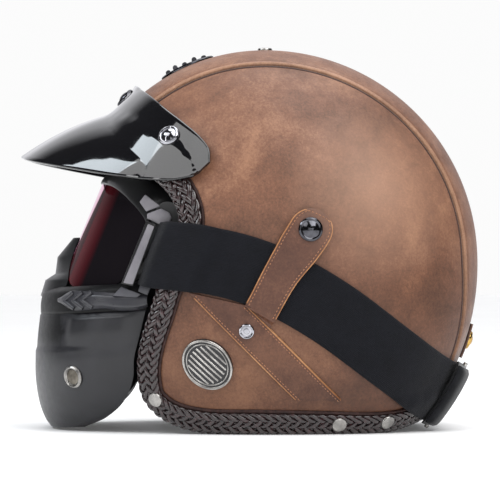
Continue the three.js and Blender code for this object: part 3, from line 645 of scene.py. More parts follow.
def lens_look():
    """Smoked lens with a mirror coat: pink in the middle, a red band, then black at the temples. The coat is real;
    where it shows pink and where red is set by position, as painted reflection.
    """
    look = Look("mirrored lens", Coat_Weight=0.1, Coat_Roughness=0.02, Specular_IOR_Level=0.0)
    split = look.add("ShaderNodeSeparateXYZ")
    look.join(look.where.outputs["Object"], split.inputs[0])
    off_centre = look.math("MULTIPLY", look.math("ABSOLUTE", split.outputs[0]), 11.0)
    wavering = look.math("ADD", off_centre, look.math("MULTIPLY", look.noise(60, 2), 0.04))
    # Painted reflection: the red band and the dark red inside it, going out to the smoke's black at the temples.
    smoke_and_painted_red_band = look.ramp(wavering, (0.3, rgb("#3a1218")), (0.37, rgb("#2a0b10")), (0.42, rgb("#4c1219")),
                       (0.57, rgb("#3a0d13")), (0.64, rgb("#171417")))
    # Painted reflection: the pink mirror zone reaches higher towards the brow.
    below_brow = look.math("MULTIPLY", look.math("SUBTRACT", 0.165, split.outputs[2]), 3.0)
    mirrored = look.ramp(look.math("ADD", wavering, below_brow), (0.33, 1.0), (0.36, 0.0))
    look.feed(look.mix(mirrored, smoke_and_painted_red_band, rgb("#eea2c2")), "Base Color")
    look.feed(look.ramp(mirrored, (0.0, 0.1), (1.0, 1.0)), "Metallic")
    look.feed(look.ramp(look.noise(12, 4), (0.35, 0.04), (0.8, 0.09)), "Roughness")
    return look.material


LOOKS = {
    "leather": leather_look("aged leather", "#4f3324", "#714b37", "#92694f", 0.35),
    # The welt leather is a lighter copy of the panel leather: painted highlight along the raised welt.
    "welt": leather_look("welt leather", "#6a4836", "#8d6850", "#a98066", 0.5),
    "band": leather_look("band leather", "#452a1f", "#5d3b2c", "#7c5540", 0.3),
    "cut edge": leather_look("cut leather edge", "#85532f", "#b07c50", "#d8a678", 0.4),
    "braid": braid_look(),
    "backing": dark_leather_look(),
    "orange thread": thread_look("orange thread", "#7d4d31", "#a8734c"),
    "dark thread": thread_look("dark thread", "#2a1610", "#4a2a1d"),
    "gloss": gloss_look(),
    "satin": satin_look("satin black plastic", "#0a0a0c", "#121214", (0.3, 0.42)),
    "mask": mask_look(),
    # Soft black: a darker, less shiny copy of the frame plastic for the rail wall; the darker colour is painted shade.
    "soft shade-painted black": satin_look("soft shade-painted black plastic", "#070708", "#0c0c0e", (0.42, 0.55), 0.05, 0.2),
    # Grey and dark grey: lighter copies of the black frame plastic for the temple facets, painted reflection, the dark
    # grey dimmer.
    "grey": satin_look("facet plastic with painted reflection", "#626066", "#7e7b80", (0.3, 0.42), 0.03),
    "dark grey": satin_look("dark facet plastic with painted reflection", "#3a3a3f", "#4b4b51", (0.3, 0.42), 0.03),
    # Moulded ribs: a lighter grey copy of the frame plastic for the rail's blade and chevrons; the grey is painted
    # highlight.
    "rib": satin_look("moulded ribs", "#26262a", "#35353a", (0.26, 0.36), 0.03),
    "mesh": metal_look("tarnished mesh", "#57524b", "#8b857b", (0.4, 0.6), 0.06),
    "shell": satin_look("moulded shell", "#141416", "#202024", (0.3, 0.45), 0.04),
    "steel": metal_look("satin steel", "#7e7c7a", "#b4b1ad"),
    "dark chrome": metal_look("dark chrome", "#1d1d20", "#57575c", (0.1, 0.2), 0.01),
    # Bright chrome: on the band rivets, and on the peak's side caps as a lighter copy of the dark chrome, painted
    # highlight.
    "chrome": metal_look("bright chrome", "#6f6f74", "#b4b4ba", (0.07, 0.14), 0.01),
    "brass": metal_look("aged brass", "#7d5c2b", "#c9a45c"),
    "enamel": satin_look("black enamel", "#0f0f11", "#1a1a1d", (0.22, 0.4), 0.02),
    "lens": lens_look(),
    "elastic": woven_look("woven elastic", "#08090e", "#12131a"),
    "elastic fold": foam_look("folded elastic", "#0b0c0f", "#17181c", 0.8, 0.2),
    "webbing": woven_look("woven webbing", "#101014", "#232329", 1.4, 1.1),
    "liner": foam_look("bead foam", "#19191b", "#2a2a2d", 3.2, 0.25),
    "face foam": foam_look("open foam", "#151517", "#26262a", 0.9),
    "lining": foam_look("brushed lining", "#2e2019", "#4a3529", 0.6, 0.2),
}

# ---- Shell, liner and leather ------------------------------------------------------

LEATHER_BOTTOM = -1.7
SHELL_TOP, SHELL_BOTTOM = -2.0, -5.2
LINER_TOP, LINER_BOTTOM = -8.4, -24.0
LINER_INSET = 14
PAD_TOP = -28.5


def inset(edge, distance):
    """Moves a closed edge across the surface, away from the opening."""
    return lifted(edge + sideways(edge, True) * EDGE_INWARD * distance)


def build_shell():
    parts = np.linspace(0.03, 1, 30)
    shell = skin("outer_shell_smooth", EDGE[::2], REAR_POLE, parts,
                 np.full(30, SHELL_TOP), np.full(30, SHELL_BOTTOM), LOOKS["shell"])
    settle(shell, "helmet", "shell_black", "outer_shell")
    tops = np.full(30, LINER_TOP)
    bottoms = LINER_BOTTOM + 5 * smoothstep((parts - 0.93) / 0.07)
    liner = skin("impact_liner_smooth", inset(EDGE, LINER_INSET)[::2], REAR_POLE, parts, tops, bottoms, LOOKS["liner"])
    settle(liner, "helmet", "liner_foam", "impact_liner")


def seam_line(x, count):
    """The surface line in the plane at x, from above the brow trim to the nape."""
    stops = [(-88, 88), (-84, 93), (-60, 116), (-20, 129), (30, 129), (80, 103), (120, 35), (122, -20),
             (108, -72), (99, -88), (94, -97)]
    first = lifted([(SEAM_X, y, z) for y, z in stops])
    line = evenly(np.column_stack([np.full(len(stops), x), first[:, 1:]]), count)
    return on_plane(line)


def on_plane(points):
    """Moves points to the head surface without changing their x."""
    x = np.abs(points[..., 0]) / HALF_WIDTH
    y, z = points[..., 1], points[..., 2]
    grow = 1.0
    for _ in range(12):
        power = exponent_at(z * grow / np.sqrt(points[..., 0] ** 2 + (y * y + z * z) * grow**2))
        grow = np.maximum(0, 1 - x**power) ** (1 / power) / plane_radius(y, z)
    return np.stack([points[..., 0], y * grow, z * grow], -1)


PANEL_SEAM_X = 57.4


def side_panel_edge():
    """The left side panel's outline: along the seam, then round by the trim."""
    outside = EDGE[EDGE[:, 0] > PANEL_SEAM_X + 1]
    seam = seam_line(PANEL_SEAM_X, 220)
    ahead = seam[:, 1] < 0
    front = outside[0]
    rear = outside[-1]
    low = (seam[:, 2] > front[2] + 1) | ~ahead
    high = (seam[:, 2] > rear[2] + 1) | ahead
    return np.concatenate([outside[::2], seam[low & high][::-1]])


def build_leather():
    outline = side_panel_edge()
    parts = np.concatenate([np.linspace(0.03, 0.95, 44), [0.965, 0.978, 0.988, 0.995, 1.0]])
    on_seam = (np.abs(outline[:, 0] - PANEL_SEAM_X) < 0.3)[None, :]
    roll = -1.25 * smoothstep((parts - 0.968) / 0.032)[:, None] ** 2
    tops = np.where(on_seam, roll, 0 * roll)
    bottoms = np.full(tops.shape, LEATHER_BOTTOM)

    def panel(side, turn):
        name = f"side_leather_{side}"
        piece = skin(name, outline * turn, SIDE_POLE * turn, parts, tops, bottoms, LOOKS["leather"])
        return piece

    both(panel, "helmet", "leather", "side_leather_panel")
    build_centre_panel()
    both(seam_stitches, "helmet", "dark_leather")
    both(seam_welt, "helmet", "dark_leather", "seam_welt")


def build_centre_panel():
    columns = np.concatenate([[-53.2, -52.9, -52.3, -51], np.linspace(-48, 48, 37), [51, 52.3, 52.9, 53.2]])
    roll = -1.1 * smoothstep((np.abs(columns) - 50.5) / 2.7) ** 2
    front = EDGE[(EDGE[:, 1] < 0) & (EDGE[:, 2] > 60)]
    rear = EDGE[(EDGE[:, 1] > 60) & (EDGE[:, 2] < -80)]
    ends = []
    for run in (front, rear):
        run = run[np.argsort(run[:, 0])]
        ends.append(np.interp(columns, run[:, 0], np.arctan2(run[:, 2], -run[:, 1])))
    start, stop = ends[0], ends[1] % (2 * math.pi)
    turn = start + (stop - start) * np.linspace(0, 1, 190)[:, None]
    flat = np.stack([np.broadcast_to(columns, turn.shape), -100 * np.cos(turn), 100 * np.sin(turn)], -1)
    surface = on_plane(flat)
    reach = np.linalg.norm(surface, axis=-1, keepdims=True)
    outer = surface * (1 + roll[None, :, None] / reach)
    inner = surface * (1 + LEATHER_BOTTOM / reach)
    rings = np.concatenate([outer, inner[:, ::-1]], 1)
    panel = mesh_object("centre_leather", rings, tube_faces(len(rings), rings.shape[1]), LOOKS["leather"])
    settle(panel, "helmet", "leather", "centre_leather_panel")


def seam_welt(side, turn):
    path = seam_line(SEAM_X, 200)[6:-6] * turn
    bend = np.linspace(0, math.pi, 9)
    across = np.concatenate([-1.75 * np.cos(bend), [1.75, -1.75]])
    height = np.concatenate([0.1 + 1.2 * np.sin(bend), [LEATHER_BOTTOM + 0.1] * 2])
    rings = strip(path, across, height)
    return mesh_object(f"welt_{side}", rings, tube_faces(len(rings), len(across)), LOOKS["welt"], 60)


def seam_stitches(side, turn):
    path = seam_line(PANEL_SEAM_X + 1.4, 200)[8:-8] * turn
    return raised_line(f"seam_thread_{side}", path, 0.75, -0.4, 0.35, LOOKS["dark thread"])


# ---- Plaited edge trim ------------------------------------------------------------

STRANDS = 16
PLAIT_REPEAT = 94
STRAND_HALF_WIDTH = 1.65
STRAND_HALF_THICKNESS = 1.0
WEAVE_RISE = 0.95
PLAIT_SECTION = [(11.9, 0.8), (10.3, 1.7), (4, 2.2), (-1.6, 1.4), (-3.2, -3), (-1.8, -7), (1.5, -8.4), (6, -9.0)]
BACKING_SECTION = [
    (11.4, 0.1), (11.6, 0.6), (9, 1.0), (4, 1.3), (-0.9, 0.7), (-2.4, -3), (-1.1, -6.6), (2, -7.8), (6.8, -8.4),
    (7.0, -8.0), (6.6, -7.2), (1, -6.2), (-0.8, -5.6), (-1.0, -3), (-0.7, 0.1), (4, 0.1),
]


def above_floor(points):
    """Lifts anything that would be below the floor up on to it."""
    lean, rise = math.sin(STAND_TILT), math.cos(STAND_TILT)
    low = np.minimum(0, points[..., 1] * lean + points[..., 2] * rise + FLOOR_DROP)
    points[..., 1] -= low * lean
    points[..., 2] -= low * rise
    return points


def weave_height(step, going_up):
    """Over two crossings and under the next two; half way at the plait's edges."""

    def inside(place):
        wave = np.cos(math.pi / 2 * (place - 1.5))
        return np.sign(wave) * np.abs(wave) ** 0.65

    starting = inside(1) * np.sin(math.pi / 2 * step)
    ending = inside(STRANDS - 1) * np.cos(math.pi / 2 * (step - STRANDS + 1))
    rise = np.where(step < 1, starting, np.where(step > STRANDS - 1, ending, inside(step)))
    return np.where(going_up, rise, -rise)


def build_braid():
    loop = trace(both_sides(EDGE_LEFT), 1000, True)
    closed_loop = np.concatenate([loop, loop[:1]])
    length = path_length(closed_loop)
    repeats = round(length / PLAIT_REPEAT)
    side = sideways(loop, True) * EDGE_INWARD
    section = evenly(np.column_stack([PLAIT_SECTION, np.zeros(len(PLAIT_SECTION))]), 60)[:, :2]
    slope = unit(np.gradient(section, axis=0))
    points = []
    faces = []
    stations = 800
    along = np.linspace(0, 1, stations, endpoint=False)
    turn = np.linspace(0, 2 * math.pi, 8, endpoint=False)
    for strand in range(STRANDS):
        step = (2 * STRANDS * repeats * along + 2 * strand) % (2 * STRANDS)
        going_up = step < STRANDS
        climb = np.where(going_up, step, 2 * STRANDS - step)
        eased = STRANDS / 2 * (1 - 2 / math.pi * np.arcsin(0.985 * np.cos(math.pi * climb / STRANDS)))
        place = eased / STRANDS * (len(section) - 1)
        raise_by = WEAVE_RISE * weave_height(climb, going_up)
        at = [np.interp(place, np.arange(len(section)), section[:, k]) for k in range(2)]
        lean = [np.interp(place, np.arange(len(section)), slope[:, k]) for k in range(2)]
        # The section runs from the outer leg over the top, so its outside is to its right.
        out = np.stack([lean[1], -lean[0]], -1)
        out = out / np.linalg.norm(out, axis=1, keepdims=True)
        across = at[0] + out[:, 0] * raise_by
        height = at[1] + out[:, 1] * raise_by
        spot = along * len(loop)
        index = spot.astype(int) % len(loop)
        part = (spot - spot.astype(int))[:, None]
        here = loop[index] * (1 - part) + loop[(index + 1) % len(loop)] * part
        across_way = unit(side[index] * (1 - part) + side[(index + 1) % len(loop)] * part)
        centre = lifted(here + across_way * across[:, None], height)
        outward = unit(unit(here) * out[:, 1:] + across_way * out[:, :1])
        tangent = unit(np.roll(centre, -1, 0) - np.roll(centre, 1, 0))
        flat = unit(np.cross(tangent, outward))
        outward = np.cross(flat, tangent)
        ring = (
            centre[:, None]
            + flat[:, None] * (STRAND_HALF_WIDTH * np.cos(turn))[:, None]
            + outward[:, None] * (STRAND_HALF_THICKNESS * np.sin(turn))[:, None]
        )
        faces += tube_faces(stations, len(turn), True, strand * stations * len(turn))
        points.append(above_floor(ring))
    braid = mesh_object("plaited_trim", np.concatenate(points), faces, LOOKS["braid"], 80)
    settle(braid, "helmet", "braided_leather", "edge_braid")
    build_trim_backing(loop[::2])


def build_trim_backing(path):
    across, height = np.array(BACKING_SECTION).T
    rings = above_floor(strip(path, across * EDGE_INWARD, height, True))
    backing = mesh_object("trim_backing", rings, tube_faces(len(rings), len(across), True), LOOKS["backing"], 60)
    settle(backing, "helmet", "braided_leather")
    turn = np.linspace(0, 2 * math.pi, 8, endpoint=False)
    rings = strip(path, (12.6 + 0.95 * np.cos(turn)) * EDGE_INWARD, 0.7 + 0.95 * np.sin(turn), True)
    cord = mesh_object("trim_welt_cord", rings, tube_faces(len(rings), len(turn), True), LOOKS["backing"], 80)
    settle(cord, "helmet", "dark_leather")


# ---- Leather bands and tabs ----------------------------------------------------------

BAND_HALF_WIDTH = 10
BAND_BOTTOM, BAND_TOP = 0.15, 2.2
BAND_PATH = [(-50, -0.7), (-38, -14.1), (-14, -41), (12, -70.2), (34, -94.8), (39, -100.5)]
BAND_STITCH_LINES = (-8.2, 8.2)
STRAP_LOWER_EDGE = {"y": -42, "z": -18.3, "slope": -0.28}
TAB_HALF_WIDTH = 10.5
TAB_LIFT = 3
TAB_THICKNESS = 1.8
TAB_PATH = [(-5, -30.6), (9, -8), (20.3, 7), (29.2, 19.1), (35.5, 30)]
TAB_ROOT = [(-5, -30.6), (-10.5, -40), (-15, -47)]
TAB_TIP = 43.5
SNAP_PLACE = (29.2, 19.1)


def soft_section(half_width, bottom, top, edge=1.1):
    """A leather strip's section: flat underneath, rounded over at both edges."""
    bend = np.linspace(0, math.pi / 2, 5)
    rise = top - bottom
    left = -half_width + edge * (1 - np.sin(bend[::-1]))[::-1]
    across = np.concatenate([
        -half_width + edge * (1 - np.cos(bend)), np.linspace(-0.75, 0.75, 9) * half_width,
        (half_width - edge * (1 - np.cos(bend)))[::-1], np.linspace(0.8, -0.8, 5) * half_width,
    ])
    height = np.concatenate([
        bottom + 0.35 * rise + 0.65 * rise * np.sin(bend), np.full(9, top),
        (bottom + 0.35 * rise + 0.65 * rise * np.sin(bend))[::-1], np.full(5, bottom),
    ])
    return across, height


def below_strap(points):
    """How far points lie below the strap's lower edge."""
    edge = STRAP_LOWER_EDGE["z"] + STRAP_LOWER_EDGE["slope"] * (points[..., 1] - STRAP_LOWER_EDGE["y"])
    return edge - points[..., 2]


def cut_start(flat, reach, rows):
    """Draws the lines of a grid back from its first row to where `reach` is positive."""
    flat = flat.copy()
    place = np.arange(rows)
    for column in range(flat.shape[1]):
        run = reach(flat[:rows, column])
        if run[0] < 0:
            start = np.interp(0, run, place)
            spread_out = start + (rows - 1 - start) * place / (rows - 1)
            line = flat[:rows, column].copy()
            for k in range(3):
                flat[:rows, column, k] = np.interp(spread_out, place, line[:, k])
    return flat


BAND_CUT_ROWS = 45
TRIM_EDGE_RISE = 1.4


def before_trim(points):
    """Positive on the open leather, negative where the trim begins."""
    return TRIM_EDGE_RISE - clear_height(points, 0.0)


def outside_band(points):
    """How far points lie outside the band's upper edge."""
    start, end = np.array(BAND_PATH[2:4], float)
    along = (end - start) / np.linalg.norm(end - start)
    off = points[..., 1:] - start
    return off[..., 0] * -along[1] + off[..., 1] * along[0] - BAND_HALF_WIDTH + 0.4


def band_path(count=110):
    return trace(left_point(*np.array(BAND_PATH).T), count)


def diagonal_band(side, turn):
    path = band_path()
    across, height = soft_section(BAND_HALF_WIDTH, BAND_BOTTOM, BAND_TOP)
    flat = cut_start(strip(path, across, 0.0), below_strap, BAND_CUT_ROWS)
    flat = cut_start(flat[::-1], before_trim, BAND_CUT_ROWS)[::-1]
    rings = lifted(flat, np.broadcast_to(height, flat.shape[:2])) * turn
    return mesh_object(f"band_{side}", rings, tube_faces(len(rings), len(across)), LOOKS["band"], 50)


def band_lines(offsets, margin):
    """Lines along the band at distances from its middle, from the strap to the trim."""
    for across in offsets:
        line = strip(band_path(220), [across], [0.0])[:, 0]
        yield line[(below_strap(line) > margin) & (before_trim(line) > 0)]


def band_stitches(side, turn):
    pieces = []
    for k, line in enumerate(band_lines(BAND_STITCH_LINES, 1.5)):
        name = f"band_stitches_{k}_{side}"
        pieces.append(stitch_row(name, line * turn, 2.3, BAND_TOP + 0.02, LOOKS["orange thread"], 0.3))
    return joined(f"band_stitches_{side}", pieces)


def band_edges(side, turn):
    """The burnished cut edges of the band, a thin pale line along each."""
    pieces = []
    for k, line in enumerate(band_lines((-BAND_HALF_WIDTH + 0.3, BAND_HALF_WIDTH - 0.3), 0.6)):
        name = f"band_edge_{k}_{side}"
        pieces.append(raised_line(name, line * turn, 0.5, 0.6, BAND_TOP + 0.12, LOOKS["cut edge"]))
    return joined(f"band_edges_{side}", pieces)


def joined(name, pieces):
    """One object from several that share a material."""
    with bpy.context.temp_override(active_object=pieces[0], selected_editable_objects=pieces, object=pieces[0],
                                   selected_objects=pieces):
        bpy.ops.object.join()
    pieces[0].name = name
    pieces[0].data.name = name
    return pieces[0]


def tab_frame(count=64):
    """The tab's middle line, the distance along it, and its half-width there."""
    path = trace(left_point(*np.array(TAB_PATH).T), count)
    along = np.linspace(0, 1, count)
    widths = np.interp(along, np.linspace(0, 1, 9), [1, 1, 1.02, 1.06, 1.14, 1.24, 1.28, 1.28, 1.28])
    length = path_length(path)
    radius = TAB_HALF_WIDTH * 1.28
    from_tip = length * (1 - along)
    tip = np.sqrt(np.clip(1 - np.clip(1 - from_tip / radius, 0, 1) ** 2, 0.002, 1))
    return path, TAB_HALF_WIDTH * widths * tip


def strap_tab(side, turn):
    path, half_width = tab_frame()
    across, height = soft_section(1.0, TAB_LIFT, TAB_LIFT + TAB_THICKNESS, 0.09)
    rings = strip(path, across * half_width[:, None], height) * turn
    return mesh_object(f"tab_{side}", rings, tube_faces(len(rings), len(across)), LOOKS["band"], 50)


def tab_rim(inset_by):
    path, half_width = tab_frame()
    start, stop = 1, len(path) - 3
    rim = [strip(path, ((half_width - inset_by) * way)[:, None], [[0.0]])[start:stop, 0] for way in (-1, 1)]
    return np.concatenate([rim[0], rim[1][::-1]])


def tab_stitches(side, turn):
    name = f"tab_stitches_{side}"
    return stitch_row(name, tab_rim(2.1) * turn, 2.3, TAB_LIFT + TAB_THICKNESS + 0.02, LOOKS["orange thread"], 0.3)


def tab_edge(side, turn):
    """The tab's burnished cut edge."""
    top = TAB_LIFT + TAB_THICKNESS
    return raised_line(f"tab_edge_{side}", tab_rim(0.4) * turn, 0.5, top - 1.2, top + 0.12, LOOKS["cut edge"])


def tab_root(side, turn):
    """The tab's fixed end: it comes down from the strap's height and goes under the band."""
    path = trace(left_point(*np.array(TAB_ROOT).T), 40)
    fall = smoothstep(np.linspace(-0.05, 1.6, len(path)))[:, None]
    across, height = soft_section(TAB_HALF_WIDTH, 0.0, TAB_THICKNESS)
    drop = 0.35 + (TAB_LIFT - 0.35) * (1 - fall)
    flat = cut_start(strip(path, across, 0.0)[::-1], outside_band, len(path) - 2)[::-1]
    rings = lifted(flat, height * (1 - 0.35 * fall) + drop) * turn
    return mesh_object(f"tab_root_{side}", rings, tube_faces(len(rings), len(across)), LOOKS["band"], 50)


def build_bands():
    both(diagonal_band, "helmet", "leather", "diagonal_band")
    both(band_stitches, "helmet", "leather")
    both(band_edges, "helmet", "leather")
    both(tab_root, "helmet", "leather")
    both(tab_edge, "tab", "leather")
    both(strap_tab, "tab", "leather", "strap_tab")
    both(tab_stitches, "tab", "leather")


# ---- Rivets, snaps and badges -----------------------------------------------------------

RIVET = [(0.01, 0), (4.9, 0), (4.9, 0.7), (4.6, 1.2), (4.0, 1.5), (3.2, 1.62), (0.01, 1.7)]
RING_RIVET = [(0.01, 0), (4.9, 0), (5.0, 0.6), (4.7, 1.2), (4.2, 1.45), (3.7, 1.3), (3.4, 0.7), (3.1, 0.62),
              (1.8, 0.75), (1.6, 0.95), (0.01, 1.0)]
SNAP = [(0.01, 0), (7.8, 0), (7.8, 0.8), (7.4, 1.4), (6.6, 1.9), (5.9, 1.75), (5.5, 1.5), (5.0, 1.75),
        (3.8, 2.5), (2.0, 3.1), (0.01, 3.3)]
SMALL_STUD = [(0.01, 0), (4.2, 0), (4.2, 0.5), (3.6, 0.9), (0.01, 1.1)]
EYELET = [(0.01, 0), (7.4, 0), (7.5, 0.7), (7.1, 1.4), (6.4, 1.9), (5.7, 1.6), (5.3, 0.9), (5.0, 0.5), (0.01, 0.5)]
VENT_MESH = [(0.01, 0), (4.9, 0), (4.9, 0.25), (4.4, 0.45), (0.01, 0.4)]
GAP = 0.4


def on_shell(profile, name, place, height, look):
    """Stands a round piece on the head surface at a left-hand place and its mirror."""
    point = left_point(*place)
    normal = surface_normal(point)

    def build(side, turn):
        foot = (point + normal * height) * turn
        return turned(f"{name}_{side}", profile, foot, normal * turn, look)

    return build


def build_fasteners():
    ring = on_shell(RING_RIVET, "ring_rivet", (-14.5, -43), BAND_TOP, LOOKS["chrome"])
    both(ring, "helmet", "steel", "band_rivet")
    stops = {"cheek_trim_rivet": (-74, -83), "middle_trim_rivet": (40.7, -105), "rear_trim_rivet": (71.4, -105.5)}
    for node, place in stops.items():
        disc = on_shell(RIVET, node.replace("rivet", "disc"), place, TRIM_TOP - 0.1, LOOKS["steel"])
        both(disc, "helmet", "steel", node)
    cap = on_shell(SNAP, "tab_snap", SNAP_PLACE, TAB_LIFT + TAB_THICKNESS + 0.1, LOOKS["dark chrome"])
    both(cap, "tab", "dark_chrome", "tab_snap_cap")
    stud = on_shell(SMALL_STUD, "tab_stud", SNAP_PLACE, GAP, LOOKS["steel"])
    both(stud, "helmet", "steel", "tab_snap_stud")
    crown = lifted([0, 8, 142])
    top = turned("crown_button", RIVET, crown + surface_normal(crown) * 0.2, surface_normal(crown), LOOKS["steel"])
    settle(top, "helmet", "steel", "crown_stud")


def oval_edge(centre, long_radius, short_radius, turn, count=72):
    """An ellipse of surface points, its long axis turned by an angle."""
    outward = surface_normal(centre)
    back = np.array([0, 1.0, 0])
    back = unit(back - outward * (back @ outward))
    up = np.cross(outward, back)
    angle = np.linspace(0, 2 * math.pi, count, endpoint=False)
    along = long_radius * np.cos(angle)
    across = short_radius * np.sin(angle)
    spread = (
        np.outer(along * math.cos(turn) - across * math.sin(turn), back)
        + np.outer(along * math.sin(turn) + across * math.cos(turn), up)
    )
    return lifted(centre + spread)


def oval_point(centre, along, across, turn):
    """A surface point near a centre, in the directions of a turned oval."""
    outward = surface_normal(centre)
    back = np.array([0, 1.0, 0])
    back = unit(back - outward * (back @ outward))
    up = np.cross(outward, back)
    right = back * math.cos(turn) + up * math.sin(turn)
    over = up * math.cos(turn) - back * math.sin(turn)
    return lifted(centre + np.multiply.outer(along, right) + np.multiply.outer(across, over))


def raised_line(name, path, half_width, bottom, top, look, closed=False):
    """A low rounded rib along a surface path."""
    bend = np.linspace(0, math.pi, 6)
    across = np.concatenate([-half_width * np.cos(bend), [half_width, -half_width]])
    height = np.concatenate([bottom + (top - bottom) * (0.3 + 0.7 * np.sin(bend)), [bottom, bottom]])
    rings = strip(path, across, height, closed)
    return mesh_object(name, rings, tube_faces(len(rings), len(across), closed), look, 50)


PLAQUE_PLACE = (-40.5, -62.5)
PLAQUE_TURN = -math.pi / 4
PLAQUE_LONG, PLAQUE_SHORT = 17.5, 14.5
PLAQUE_FACE = 1.9


def plaque(side, turn):
    centre = left_point(*PLAQUE_PLACE)
    edge = oval_edge(centre, PLAQUE_LONG, PLAQUE_SHORT, PLAQUE_TURN)
    parts = np.array([0.2, 0.5, 0.8, 0.93, 0.98, 1.0])
    tops = np.array([PLAQUE_FACE] * 4 + [PLAQUE_FACE - 0.2, PLAQUE_FACE - 0.7])
    return skin(f"plaque_{side}", edge * turn, centre * turn, parts, tops, np.full(6, 0.1), LOOKS["enamel"])


def plaque_relief(side, turn):
    """A double rim and a fan of plain ribs: a generic plaque with no lettering."""
    centre = left_point(*PLAQUE_PLACE)
    pieces = []
    for k, (share, half_width, top) in enumerate(((0.955, 0.75, 2.7), (0.82, 0.4, 2.35))):
        line = oval_edge(centre, PLAQUE_LONG * share, PLAQUE_SHORT * share, PLAQUE_TURN)
        pieces.append(raised_line(f"rim_{k}", line * turn, half_width, 1.7, top, LOOKS["steel"], True))
    for k in range(7):
        across = (k - 3) * 2.9
        reach = PLAQUE_LONG * 0.7 * math.sqrt(max(0.05, 1 - (across / (PLAQUE_SHORT * 0.86)) ** 2))
        along = np.linspace(-reach, reach, 14)
        line = oval_point(centre, along, np.full(14, across), PLAQUE_TURN)
        pieces.append(raised_line(f"rib_{k}", line * turn, 0.5, 1.7, 2.35, LOOKS["steel"]))
    return joined(f"plaque_relief_{side}", pieces)


def build_badges():
    both(plaque, "helmet", "enamel", "side_plaque")
    both(plaque_relief, "helmet", "steel")
    brow = lifted([0, -45, 134])
    parts = np.array([0.2, 0.5, 0.8, 0.95, 1.0])
    tops = np.array([2.0, 2.0, 1.9, 1.6, 0.9])
    plate_piece = skin("brow_plate", oval_edge(brow, 19, 13, 0), brow, parts, tops, np.full(5, 0.1), LOOKS["dark chrome"])
    settle(plate_piece, "helmet", "steel", "brow_badge")
    bars = []
    for k, (along, reach, top) in enumerate(((-13, 5, 3.6), (-7.5, 9, 4.4), (-1, 10.5, 3.4), (6, 9.5, 4.2), (12.5, 5.5, 3.2))):
        line = oval_point(brow, np.full(12, float(along)), np.linspace(-reach, reach, 12), 0)
        bars.append(raised_line(f"bar_{k}", line, 1.7, 1.7, top, LOOKS["dark chrome"]))
    settle(joined("brow_badge_bars", bars), "helmet", "steel")
    build_rear_tab()


def build_rear_tab():
    path = trace([(0, 133, -48), (0, 130, -60), (0, 125, -70)], 30)
    across, height = soft_section(13, 0.1, 2.2)
    rings = strip(path, across, height)
    tab = mesh_object("rear_leather_tab", rings, tube_faces(len(rings), len(across)), LOOKS["band"], 50)
    settle(tab, "helmet", "dark_leather", "rear_tab")
    snap = lifted([0, 129, -58])
    profile = [(r * 0.8, h) for r, h in SNAP]
    cap = turned("rear_brass_snap", profile, snap + surface_normal(snap) * 2.2, surface_normal(snap), LOOKS["brass"])
    settle(cap, "helmet", "brass", "rear_tab_snap")


# ---- Peak ---------------------------------------------------------------------------------

PEAK_LINES = {
    "top": [(0, -80.6, 122.3), (28, -77.5, 119.3), (54, -69.5, 111.5), (77, -59, 101.5),
            (91, -48.5, 92.5), (100.5, -39.5, 84), (108.5, -33, 74), (112, -33, 66)],
    "crease": [(0, -92.8, 105.5), (30, -91, 103), (56, -85, 95.5), (78, -76, 86),
               (92.5, -66, 76), (100.5, -58.5, 69), (107.5, -48, 63), (111.5, -39, 61)],
    "rim": [(0, -158.6, 80), (30, -152, 77), (55, -134, 72), (76, -110, 66),
            (90, -92, 62), (100.5, -71.5, 58), (108, -57, 56.8), (112, -44, 58.5)],
}
PEAK_THICKNESS = 2.2
PEAK_CLEARANCE = 2.4
BRIM_DOME = 3.9
CAP_GAP = 1.1
SIDE_CAP_PLACE = 0.58
CREASE_ROUNDING = 5


def peak_line(line, across):
    point = curve_at(PEAK_LINES[line], np.abs(across))
    return point * np.stack([np.where(across < 0, -1, 1), np.ones_like(across), np.ones_like(across)], -1)


def clear_of_shell(points):
    reach = np.linalg.norm(points, axis=-1)
    height = reach - surface_radius(unit(points))
    least = clear_height(points, PEAK_CLEARANCE) + PEAK_THICKNESS * 1.15
    return np.where((height < least)[..., None], lifted(points, least), points)


def peak_point(start, end, across, blend):
    """A point between two of the peak's lines. The brim is domed, most in the middle."""
    across = np.asarray(across, float)
    point = peak_line(start, across) * (1 - blend) + peak_line(end, across) * blend
    dome = 4 * BRIM_DOME * blend * (1 - blend) * (1 - across**2) if end == "rim" else 0 * across
    return clear_of_shell(point + np.stack([0 * across, 0 * across, dome], -1))


def build_peak():
    across = np.linspace(-1, 1, 121)
    rows = [peak_point("top", "crease", across, b) for b in np.linspace(0, 1, 13)]
    rows += [peak_point("crease", "rim", across, b) for b in np.linspace(0, 1, 33)[1:]]
    grid = np.stack(rows)
    for _ in range(CREASE_ROUNDING):
        grid[10:17] = 0.25 * grid[9:16] + 0.5 * grid[10:17] + 0.25 * grid[11:18]
    peak = plate("gloss_peak", grid.transpose(1, 0, 2), PEAK_THICKNESS, LOOKS["gloss"], 50)
    settle(peak, "peak", "gloss_black", "peak")
    build_peak_snaps()


def band_middle(across):
    """The snap caps sit half way up the band, square to it."""
    along = peak_point("top", "crease", across + 0.03, 0.5) - peak_point("top", "crease", across - 0.03, 0.5)
    down = peak_point("top", "crease", across, 1) - peak_point("top", "crease", across, 0)
    normal = unit(np.cross(along, down))
    point = peak_point("top", "crease", across, 0.5)
    return point, normal * np.sign(normal @ point)


